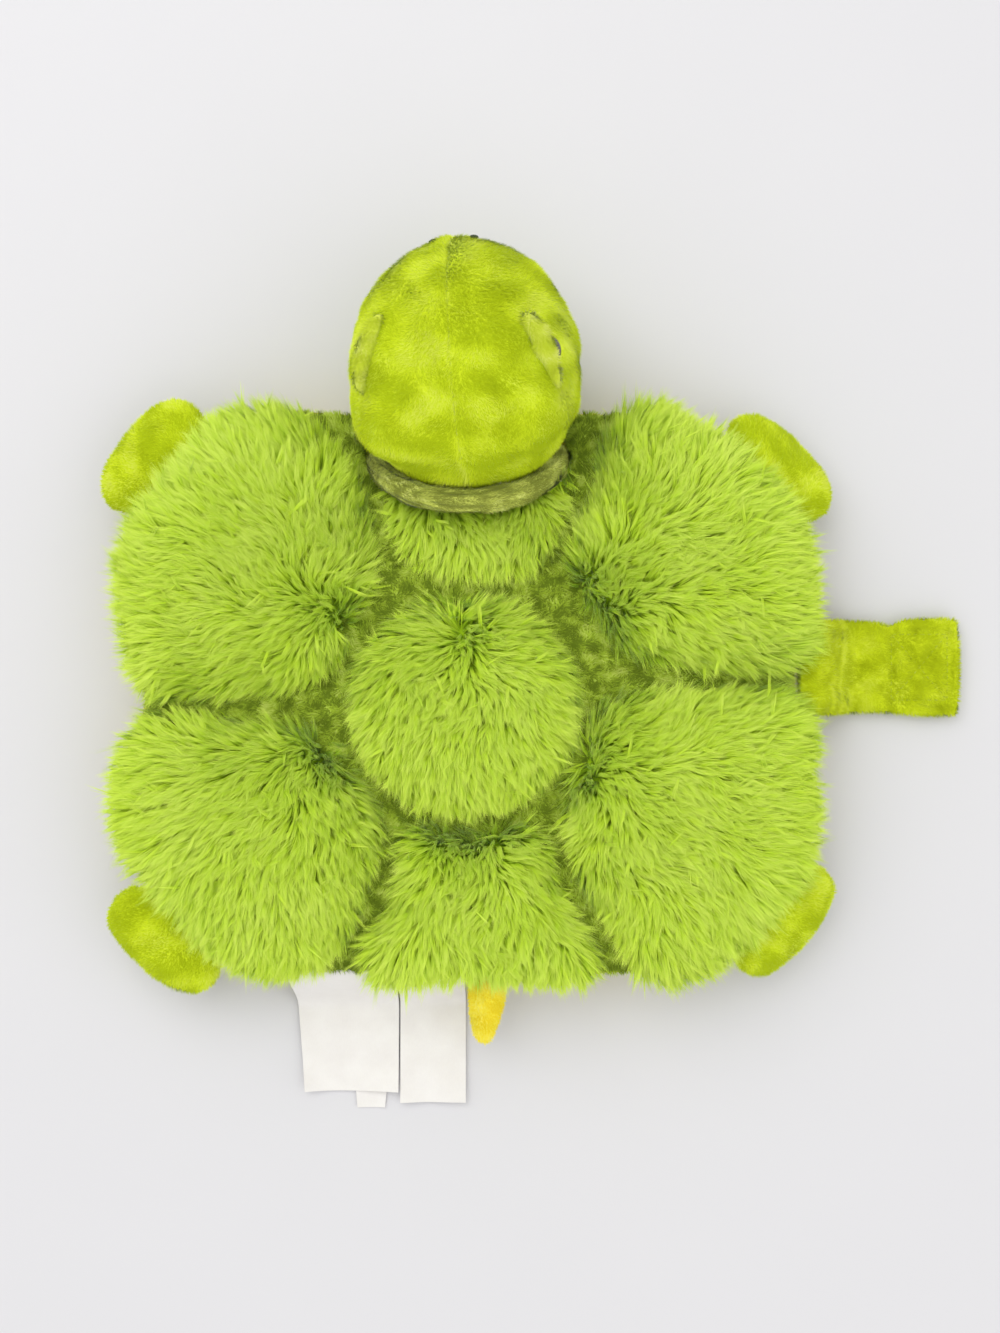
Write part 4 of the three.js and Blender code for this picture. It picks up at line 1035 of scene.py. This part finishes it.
glassPaint = Paint("eyeGloss", {"Roughness": 0.12, "Coat Weight": 0.6, "Coat Roughness": 0.05})
cloudy = glassPaint.noise(3.0, 2.0)
glassPaint.colour(glassPaint.mix(cloudy, linear(14, 11, 10), linear(34, 24, 18)))
glassPaint.roughness(0.08 + cloudy * 0.1)
threadPaint = twistedThread("darkThread", {
    "sheen": 0.2, "twist": 700, "dark": (34, 44, 16), "light": (70, 84, 36), "relief": 0.6, "depth": 0.15,
})


def lidPath(sign):        # a curve over the head through three places
    first, middle, last = (headDirection(sign * bearing, elevation) for bearing, elevation in face["lidPlaces"][sign])

    def onLid(share):
        share = share[:, None]
        ends = first * (1 - share) * (1 - 2 * share) + last * share * (2 * share - 1)
        return onHead(ends + middle * 4 * share * (1 - share), face["lidLift"])

    return (lambda share: headPivot + leaned(onLid(share)[0])), (lambda share: leaned(onLid(share)[1]))


def lidFullness(share):        # fullest before its middle
    return face["lidEnd"] + (1 - face["lidEnd"]) * bell(share - face["lidFullest"], face["lidSpread"])


def makeFace():
    for name, sign in sides.items():
        word = name.lower()

        def eyeShape(ball):
            return standOnHead(eyeForm(ball), sign * face["bearing"], face["elevation"], face["eyeSeat"])

        eye = ballForm("eye" + name, 40, 32, eyeShape)
        glassPaint.onto(eye)
        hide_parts("eye_" + word)
        path, over = lidPath(sign)
        lid = sweptForm("eyelid" + name, 28, 40, {
            "path": path, "over": over, "endShare": 0.22,
            "halfWidth": lambda share: face["lidWidth"] * lidFullness(share),
            "halfHeight": lambda share: face["lidHeight"] * (0.7 + 0.3 * lidFullness(share)),
        })
        nap = growNap("eyelidNap" + name, lid, face["lidNap"], lambda points: points * 0 + [0.2, -1, 0])
        paints["palePlush"].onto(lid)
        naps["palePlush"].onto(nap)
        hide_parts("eyelid_" + word)

        def knotShape(ball):
            knot, bearing = ball * face["nostril"], sign * face["nostrilBearing"]
            return standOnHead(knot, bearing, face["nostrilElevation"], face["nostrilSeat"])

        knot = ballForm("nostril" + name, 20, 12, knotShape)
        threadPaint.onto(knot)
        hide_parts("nostril_" + word)
        for piece in (eye, lid, nap, knot):
            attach(piece, "head")


makeFace()


def stitchRow(name, starts, ends, overs, thickness):        # one stitch is modelled, then copied along the row
    pieces = []
    for i, (start, end, over) in enumerate(zip(starts, ends, overs)):
        if not pieces:
            stitch = ballForm(name, 10, 8, lambda ball: ball)
            pattern = pointsOf(stitch)
        else:
            stitch = copyOf(pieces[0], name + str(i))
        along = end - start
        across = unit(np.cross(over, along)) * thickness
        over = unit(over) * thickness
        bow = (1 - pattern[:, 2:] ** 2) * over * 0.9
        section = pattern[:, :1] * across + pattern[:, 1:2] * over
        placePoints(stitch, (start + end) / 2 + section + pattern[:, 2:] * along / 2 + bow)
        pieces.append(stitch)
    bpy.ops.object.select_all(action="DESELECT")
    for piece in pieces:
        piece.select_set(True)
    bpy.context.view_layer.objects.active = pieces[0]
    bpy.ops.object.join()
    joined = bpy.context.object
    faceOutwards(joined)
    return joined


def makeMouth():
    swing = np.linspace(-1, 1, face["stitches"] + 1)
    towards = np.array([
        headDirection(face["mouthHalfAngle"] * turn, face["mouthElevation"] + face["mouthLift"] * turn * turn)
        for turn in swing
    ])
    points, normals = onHead(towards, 0.35)        # over the cloth
    points = headPivot + leaned(points)
    normals = leaned(normals)
    gap = (points[1:] - points[:-1]) * 0.07
    mouth = stitchRow("mouthStitching", points[:-1] + gap, points[1:] - gap, normals[:-1], face["thread"])
    threadPaint.onto(mouth)
    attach(mouth, "head")
    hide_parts("mouth_stitch")


makeMouth()

print("neck and collar")

neck = {
    "outer": 47.6, "inner": 43.4, "rimAngle": 37.5, "collarReach": 47.4, "collarAngle": 45, "collarTube": 4.5,
    "sweep": 208,
    "collarNap": {"seed": 81, "perSquare": 4.5, "length": 2.4, "width": 0.4, "lift": 22, "swirl": 14, "stray": 0.25},
    "neckNap": {"seed": 82, "perSquare": 1.4, "length": 1.2, "width": 0.4, "lift": 50, "swirl": 16, "stray": 0.6},
}
neckSide = np.array([1.0, 0, 0])


def neckForm(ball):        # a cup: out over its outside to the rim, then back down its inside
    share = np.arccos(np.clip(ball[:, 2], -1, 1)) / math.pi
    around = np.arctan2(ball[:, 1], ball[:, 0])
    angle = np.radians(neck["rimAngle"]) * np.sqrt(np.clip(1 - np.abs(2 * share - 1) ** 2, 0, 1))
    reach = neck["inner"] + (neck["outer"] - neck["inner"]) * smooth(0.42, 0.58, share)
    radial = neckSide * np.cos(around)[:, None] + neckUp * np.sin(around)[:, None]
    return headPivot + (radial * np.sin(angle)[:, None] - neckAxis * np.cos(angle)[:, None]) * reach[:, None]


def makeNeck():
    cup = ballForm("neckCup", 64, 48, neckForm)

    def outside(points, normals):
        return ((points - headPivot) * normals).sum(axis=1) > 0

    cupNap = growNap("neckNap", cup, neck["neckNap"], lambda points: points - headPivot, outside)
    radius = neck["collarReach"] * math.sin(math.radians(neck["collarAngle"]))
    back = neck["collarReach"] * math.cos(math.radians(neck["collarAngle"]))

    def radial(share):
        turn = np.radians(neck["sweep"]) * (share - 0.5)
        return neckSide * np.sin(turn)[:, None] + neckUp * np.cos(turn)[:, None]

    def uneven(share):
        return 1 + 0.05 * np.sin(share * 23) + 0.04 * np.sin(share * 51 + 1)

    def folds(share, around):        # the gathered cloth creases along the band
        first = np.cos(5 * around + 2.2 * np.sin(share * 9)) * (0.6 + 0.4 * np.sin(share * 31))
        return 1 + 0.075 * first + 0.05 * np.cos(9 * around + 3 * np.sin(share * 14 + 1))

    collar = sweptForm("collar", 72, 160, {
        "path": lambda share: headPivot + radial(share) * radius - neckAxis * back,
        "over": lambda share: radial(share) - neckAxis, "endShare": 0.05,
        "halfWidth": lambda share: neck["collarTube"] * 1.04 * uneven(share),
        "halfHeight": lambda share: neck["collarTube"] * 0.92 * uneven(share + 0.3), "folds": folds,
    })

    def lengthwise(points):
        return np.cross(neckAxis, points - (headPivot - neckAxis * back))

    collarNap = growNap("collarNap", collar, neck["collarNap"], lengthwise)
    for piece, nap, kind, slotName, node in (
        (cup, cupNap, "limePlush", "lime_pile", "neck"), (collar, collarNap, "collarPlush", "collar_pile", "collar"),
    ):
        paints[kind].onto(piece)
        naps[kind].onto(nap)
        for part in (piece, nap):
            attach(part, "neck_cup")
        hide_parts(node)


makeNeck()

print("feet and tail")

limbs = {
    "footFrontLeft": {
        "node": "foot_front_left", "body": "front_left_foot", "parent": "left_wing",
        "root": (-113.861, 84.847, 26), "bearing": 142, "droop": 16,
    },
    "footFrontRight": {
        "node": "foot_front_right", "body": "front_right_foot", "parent": "right_wing",
        "root": (118.069, 83.396, 26), "bearing": 46, "droop": 48,
    },
    "footRearLeft": {
        "node": "foot_rear_left", "body": "rear_left_foot", "parent": "left_wing",
        "root": (-110.565, -90.151, 26), "bearing": 229, "droop": 16,
    },
    "footRearRight": {
        "node": "foot_rear_right", "body": "rear_right_foot", "parent": "right_wing",
        "root": (118.263, -85.136, 26), "bearing": -40, "droop": 38,
    },
    "tail": {
        "node": "tail", "body": "tail_piece", "parent": "spine",
        "root": (8.5, -113.057, 26), "bearing": -94, "droop": 18,
    },
}
footShape = {
    "plush": "limePlush", "slot": "lime_pile", "from": -3.4, "to": 22, "halfWidth": 26.2, "halfHeight": 7.6,
    "voxel": 2.2, "pressure": 3, "quality": 4, "steps": 12, "swell": 1.4,
    "stations": (0, 0.18, 0.3, 0.52, 0.75, 0.92, 1.0), "widths": (0.74, 0.8, 0.92, 1.0, 0.9, 0.66, 0.4),
    "heights": (0.42, 0.5, 0.76, 1.0, 0.92, 0.66, 0.42),
    "nap": {"seed": 91, "perSquare": 3.6, "length": 2.2, "width": 0.42, "lift": 46, "swirl": 15, "stray": 0.8},
}
tailShape = {
    "plush": "yellowPlush", "slot": "yellow_pile", "from": -3.4, "to": 25.5, "halfWidth": 7.4, "halfHeight": 4.6,
    "voxel": 1.6, "pressure": 3, "quality": 4, "steps": 12, "swell": 1.0,
    "stations": (0, 0.15, 0.35, 0.62, 0.88, 1.0), "widths": (0.85, 0.95, 1.0, 0.82, 0.55, 0.4),
    "heights": (0.6, 0.85, 1.0, 0.88, 0.64, 0.46),
    "nap": {"seed": 95, "perSquare": 3.6, "length": 1.8, "width": 0.42, "lift": 46, "swirl": 12, "stray": 0.6},
}


def bendAtSeam(piece):        # a piece is fixed where it lies; its bend where the sewn cloth leaves the seam is not made here
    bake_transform(piece)


def makeLimb(name, plan, shape):
    turn, dip = math.radians(plan["bearing"]), math.radians(plan["droop"])
    ahead = np.array([math.cos(turn) * math.cos(dip), math.sin(turn) * math.cos(dip), -math.sin(dip)])
    over = np.array([math.cos(turn) * math.sin(dip), math.sin(turn) * math.sin(dip), math.cos(dip)])
    root = np.array(plan["root"])
    across = np.cross(over, ahead)
    flat = np.array([math.cos(turn), math.sin(turn)])
    beside = np.array([-flat[1], flat[0]])
    rim = pillowOutline[(pillowOutline - root[:2]) @ flat > -45] - root[:2]
    rim = rim[np.argsort(rim @ beside)]
    piece = sweptForm(name, 40, 40, {
        "path": lambda share: root + ahead * (shape["from"] + (shape["to"] - shape["from"]) * share)[:, None],
        "over": lambda share: np.broadcast_to(over, (len(share), 3)), "endShare": 0.1,
        "halfWidth": lambda share: shape["halfWidth"] * np.interp(share, shape["stations"], shape["widths"]),
        "halfHeight": lambda share: shape["halfHeight"] * np.interp(share, shape["stations"], shape["heights"]),
    })
    points = pointsOf(piece)        # its root is drawn in to the pillow's own rim
    away = (points - root) @ ahead
    gap = np.interp((points[:, :2] - root[:2]) @ beside, rim @ beside, rim @ flat) - 1.5 - shape["from"]
    points[:, :2] += flat * (np.minimum(gap, 0) * (1 - smooth(shape["from"], shape["to"] * 0.7, away)))[:, None]
    placePoints(piece, points)
    stuffed(piece, shape)
    points = pointsOf(piece)        # a seam runs round its edge, and the floor stops it
    height = (points - root) @ over
    out = points - root - height[:, None] * over
    edge = unit(out - np.outer(out @ ahead, ahead) * 0.4)
    points = points - edge * (0.9 * bell(height, 1.1) * smooth(6, 14, np.linalg.norm(out, axis=1)))[:, None]
    points[:, 2] = np.maximum(points[:, 2], 0.4)
    placePoints(piece, points)
    style = {**shape["nap"], "seed": shape["nap"]["seed"] + len(name)}
    nap = growNap(name + "Nap", piece, style, lambda roots: roots * 0 + ahead + 0.3 * across - 0.6 * over)
    paints[shape["plush"]].onto(piece)
    naps[shape["plush"]].onto(nap)
    for part in (piece, nap):
        bendAtSeam(part)
    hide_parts(plan["node"], plan["node"] + "_stuffing")


for name, plan in limbs.items():
    makeLimb(name, plan, tailShape if name == "tail" else footShape)

print("strap and its fastener pads")

strap = {
    "root": (132.146, 8.8, 26), "length": 62.5, "halfWidth": 17, "endHalfWidth": 18.5, "halfHeight": 2.3, "run": 22,
    "layHeight": 4.2, "rootBack": 5, "boxFrom": 36, "boxTo": 58, "boxHalf": 13, "stitch": 2.6, "thread": 0.32,
    "stitchSink": 1.8, "notch": 1.6, "notchWidth": 3,
    "nap": {"seed": 101, "perSquare": 3.6, "length": 2.4, "width": 0.42, "lift": 36, "swirl": 10, "stray": 0.8},
}
strapRoot = np.array(strap["root"])


def strapMiddle(x):
    drop = strap["root"][2] - strap["layHeight"]
    down = -drop * (1 - np.cos(math.pi * np.clip(x / strap["run"], 0, 1))) / 2
    return strapRoot + np.column_stack([x, np.zeros(len(x)), down])


def boxLines():        # the box and cross that hold the pad, as pairs of ends along and across the strap
    near, far, half = strap["boxFrom"], strap["boxTo"], strap["boxHalf"]
    corners = [(near, -half), (far, -half), (far, half), (near, half)]
    sides = list(zip(corners, corners[1:] + corners[:1]))
    return sides + [(corners[0], corners[2]), (corners[1], corners[3])]


def fromLine(x, y, line):        # how far a point is from a stretch of stitching
    start, end = (np.array(point, float) for point in line)
    along = end - start
    offset = np.column_stack([x, y]) - start
    share = np.clip(offset @ along / (along @ along), 0, 1)
    return np.linalg.norm(offset - share[:, None] * along, axis=1)


def makeStrap():
    whole = strap["length"] + strap["rootBack"]
    piece = sweptForm("strap", 128, 150, {
        "path": lambda share: strapMiddle(-strap["rootBack"] + whole * share),
        "over": lambda share: np.broadcast_to([0.0, 0, 1], (len(share), 3)),
        "endShare": 0.02, "squareness": 3.2,
        "halfWidth": lambda share: strap["halfWidth"] + (strap["endHalfWidth"] - strap["halfWidth"]) * share,
        "halfHeight": lambda share: np.full(len(share), strap["halfHeight"]),
    })
    points = pointsOf(piece)
    x, y = (points - strapRoot).T[:2]
    top = smooth(-0.5, 1.2, points[:, 2] - strapMiddle(x)[:, 2])
    pressed = np.zeros(len(points))
    for line in boxLines():
        pressed = np.maximum(pressed, bell(fromLine(x, y, line), strap["stitchSink"]))
    folds = 0.9 * bell(y + 7.5 - 0.7 * np.sin(x / 11 + 1), 1.8)        # the cover's long seam
    folds = folds * smooth(0, 6, x) * (1 - smooth(strap["boxFrom"] - 8, strap["boxFrom"] + 1, x))
    uneven = 0.35 * ripple(points, 13, 102)
    points[:, 2] += top * (uneven + 0.5 - 1.5 * pressed - 1.2 * folds)
    notch = strap["notch"] * bell(x - strap["boxFrom"] + 1, strap["notchWidth"]) * (y > 0)
    points[:, 1] += (0.5 * np.sin(x / 6.5) - notch) * smooth(0, 12, np.abs(y)) * np.sign(y)
    placePoints(piece, points)

    def outwards(roots):        # the nap stands out past both long edges
        across = roots[:, 1] - strapRoot[1]
        aside = 1.6 * smooth(8, 15, np.abs(across)) * np.sign(across)
        return np.column_stack([np.full(len(roots), 0.7), aside, across * 0])

    nap = growNap("strapNap", piece, strap["nap"], outwards)
    starts, ends = [], []
    for line in boxLines():
        start, end = (np.array(point, float) for point in line)
        count = int(np.linalg.norm(end - start) / strap["stitch"])
        for i in range(count):        # a stitch leaves a small gap to the next
            starts.append(start + (end - start) * (i + 0.12) / count)
            ends.append(start + (end - start) * (i + 0.88) / count)
    tree = BVHTree.FromObject(piece, bpy.context.evaluated_depsgraph_get())

    def onTop(place):        # on the strap's upper side, sunk a little
        at = Vector(((strapRoot[0] + place[0]) * mm, (strapRoot[1] + place[1]) * mm, 0.1))
        return np.array(tree.ray_cast(at, Vector((0, 0, -1)))[0]) / mm - [0, 0, 0.1]

    rows = [[onTop(place) for place in places] for places in (starts, ends)]
    stitching = stitchRow("strapStitching", *rows, [np.array([0, 0, 1.0])] * len(starts), strap["thread"])
    paints["strapPlush"].onto(piece)
    naps["strapPlush"].onto(nap)
    seamThread.onto(stitching)
    for part, slotName in ((piece, "lime_pile"), (nap, "lime_pile"), (stitching, "thread")):
        bendAtSeam(part)
    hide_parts("strap")


def paddedBox(name, centre, size, edge):        # a small block with rounded edges
    bpy.ops.object.select_all(action="DESELECT")
    bpy.ops.mesh.primitive_cube_add(size=1, location=[v * mm for v in centre], scale=[v * mm for v in size])
    piece = bpy.context.object
    piece.name = piece.data.name = name
    bpy.ops.object.transform_apply(location=True, rotation=True, scale=True)
    bpy.ops.object.mode_set(mode="EDIT")
    bpy.ops.mesh.select_all(action="SELECT")
    bpy.ops.mesh.bevel(offset=edge * mm, segments=3, affect="EDGES")
    bpy.ops.object.mode_set(mode="OBJECT")
    bpy.ops.object.shade_smooth_by_angle(angle=math.radians(50))
    return piece


def flatGrid(name, steps):        # a grid from -1 to 1 both ways, which its maker then lays
    bpy.ops.object.select_all(action="DESELECT")
    bpy.ops.mesh.primitive_grid_add(x_subdivisions=steps[0], y_subdivisions=steps[1], size=2 * mm)
    piece = bpy.context.object
    piece.name = piece.data.name = name
    return piece, pointsOf(piece)


def turnFaces(piece, upwards):        # all of an open sheet's faces look up, or all down
    faceOutwards(piece)
    if (np.mean([normal.vector.z for normal in piece.data.vertex_normals]) > 0) != upwards:
        bpy.ops.object.mode_set(mode="EDIT")
        bpy.ops.mesh.flip_normals()
        bpy.ops.object.mode_set(mode="OBJECT")


def finishSheet(piece, name, thickness, offset):
    applied(piece, name, "SOLIDIFY", thickness=thickness * mm, offset=offset)
    bpy.ops.object.shade_smooth_by_angle(angle=math.radians(50))


seamThread = twistedThread("limeThread", {
    "sheen": 0, "twist": 900, "dark": (176, 192, 22), "light": (204, 218, 52), "relief": 0.5, "depth": 0.1,
})
padPaint = Paint("fastenerTape", {"Roughness": 0.8, "Specular IOR Level": 0.3})
padLoops = padPaint.add("ShaderNodeTexVoronoi", {}, {"Vector": padPaint.place(), "Scale": 1100})
padWeave = padPaint.noise(0.5, 3.0)
# the tape is darker where its loop pattern sinks, painted shade in its hollows, with the weave's own uneven tone
padPaint.colour(padPaint.mix((padLoops * 0.7 + padWeave * 0.5).held(), linear(190, 204, 60), linear(138, 152, 30)))
padPaint.bump(1 - padLoops, 0.8, 0.4)
padPaint.roughness(0.6 + padWeave * 0.35)

makeStrap()
hookPad = paddedBox("hookPad", (181.05, 8.8, 0.85), (24, 30, 1.5), 0.5)
padPaint.onto(hookPad)
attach(hookPad, "strap_piece")
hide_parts("hook_pad")

loopPad = {
    "from": -121, "to": -107, "middle": 8.8, "halfWidth": 14.6, "thickness": 1.3, "steps": (24, 34),
    "lift": 0.25, "height": 14,
}


def makeLoopPad():        # laid on the belly's own surface by looking up at it
    tree = BVHTree.FromObject(bellies["Left"], bpy.context.evaluated_depsgraph_get())
    piece, points = flatGrid("loopPad", loopPad["steps"])
    low, high = loopPad["from"], loopPad["to"]
    across = low + (points[:, 0] + 1) / 2 * (high - low)
    laid = []
    for x, y in np.column_stack([across, loopPad["middle"] + points[:, 1] * loopPad["halfWidth"]]):
        hit, normal = tree.ray_cast(Vector((x * mm, y * mm, -0.05)), Vector((0, 0, 1)))[:2]
        found = np.array(hit) / mm + np.array(normal) * loopPad["lift"] if hit else [x, y, loopPad["height"]]
        laid.append(found)
    placePoints(piece, np.array(laid))
    turnFaces(piece, False)
    finishSheet(piece, "tape", loopPad["thickness"], 1)
    padPaint.onto(piece)
    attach(piece, "left_wing")
    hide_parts("loop_pad")


makeLoopPad()

print("labels")

labels = {
    "careLabel": {
        "node": "care_label", "body": "care_label_piece", "x": -47.6, "y": -106.8, "z": 26.2, "length": 53,
        "halfWidth": 20.7, "endHalfWidth": 18.6, "drift": 2, "floor": 1.5, "curl": 1.2, "seed": 111,
    },
    "careLabelLeaf": {
        "node": "care_label_leaf", "body": "care_label_piece", "x": -38, "y": -106.6, "z": 25.4, "length": 60,
        "halfWidth": 11, "endHalfWidth": 5.5, "drift": 0, "floor": 0.5, "curl": 0.2, "seed": 112,
    },
    "nameLabel": {
        "node": "name_label", "body": "name_label_piece", "x": -13.3, "y": -106.2, "z": 26.2, "length": 58,
        "halfWidth": 13, "endHalfWidth": 13, "drift": 0, "floor": 1.5, "curl": 0.9, "seed": 113,
    },
}
labelCloth = {"run": 20, "thickness": 0.3, "steps": (30, 56), "waveSize": 34, "cornerCurl": 1.6}
satinPaint = Paint("whiteSatin", {"Roughness": 0.45, "Sheen Weight": 0.15, "Specular IOR Level": 0.35})
satinWeave = satinPaint.noise(0.35, 2.0, 0.6, at=satinPaint.stretched((1, 0.25, 1)))
satinShade = satinPaint.noise(9, 2.0)
satinPaint.colour(satinPaint.mix(satinShade * 0.6 + satinWeave * 0.3, linear(246, 244, 240), linear(226, 221, 216)))
satinPaint.bump(satinWeave, 0.35, 0.12)
satinPaint.roughness(0.36 + satinWeave * 0.25)


def makeLabel(name, plan):
    piece, points = flatGrid(name, labelCloth["steps"])
    share = (1 - points[:, 1]) / 2        # 0 at the seam, 1 at the free end
    away = plan["length"] * share
    half = plan["halfWidth"] + (plan["endHalfWidth"] - plan["halfWidth"]) * share
    drop = plan["z"] - plan["floor"]
    lift = plan["z"] - drop * (1 - np.cos(math.pi * np.minimum(1, away / labelCloth["run"]))) / 2
    uneven = ripple(points * [20, 28, 0], labelCloth["waveSize"], plan["seed"])
    wave = plan["curl"] * (0.5 + 0.5 * uneven) * smooth(0.25, 0.8, share)
    corner = plan["curl"] * labelCloth["cornerCurl"] * smooth(0.75, 1, share) * np.abs(points[:, 0]) ** 3
    x = plan["x"] + plan["drift"] * share + points[:, 0] * half
    placePoints(piece, np.column_stack([x, plan["y"] - away, lift + wave + corner]))
    turnFaces(piece, True)
    middle = pointsOf(piece)[np.abs(points[:, 0]) < 0.05]
    finishSheet(piece, "satin", labelCloth["thickness"], 0)
    satinPaint.onto(piece)
    bendAtSeam(piece)
    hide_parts(plan["node"])


for name, plan in labels.items():
    makeLabel(name, plan)

print("what stays from the frame")

washerPaint = Paint("washerPlastic", {"Roughness": 0.5})
washerGrain = washerPaint.noise(0.8, 3.0)
washerPaint.colour(washerPaint.mix(washerGrain, linear(236, 236, 232), linear(214, 214, 208)))
washerPaint.bump(washerGrain, 0.2, 0.1)
for name in ("eye_washer_left", "eye_washer_right"):
    node = frame["nodes"][name]
    node.data.materials.clear()
    node.data.materials.append(washerPaint.material)

print("finished")
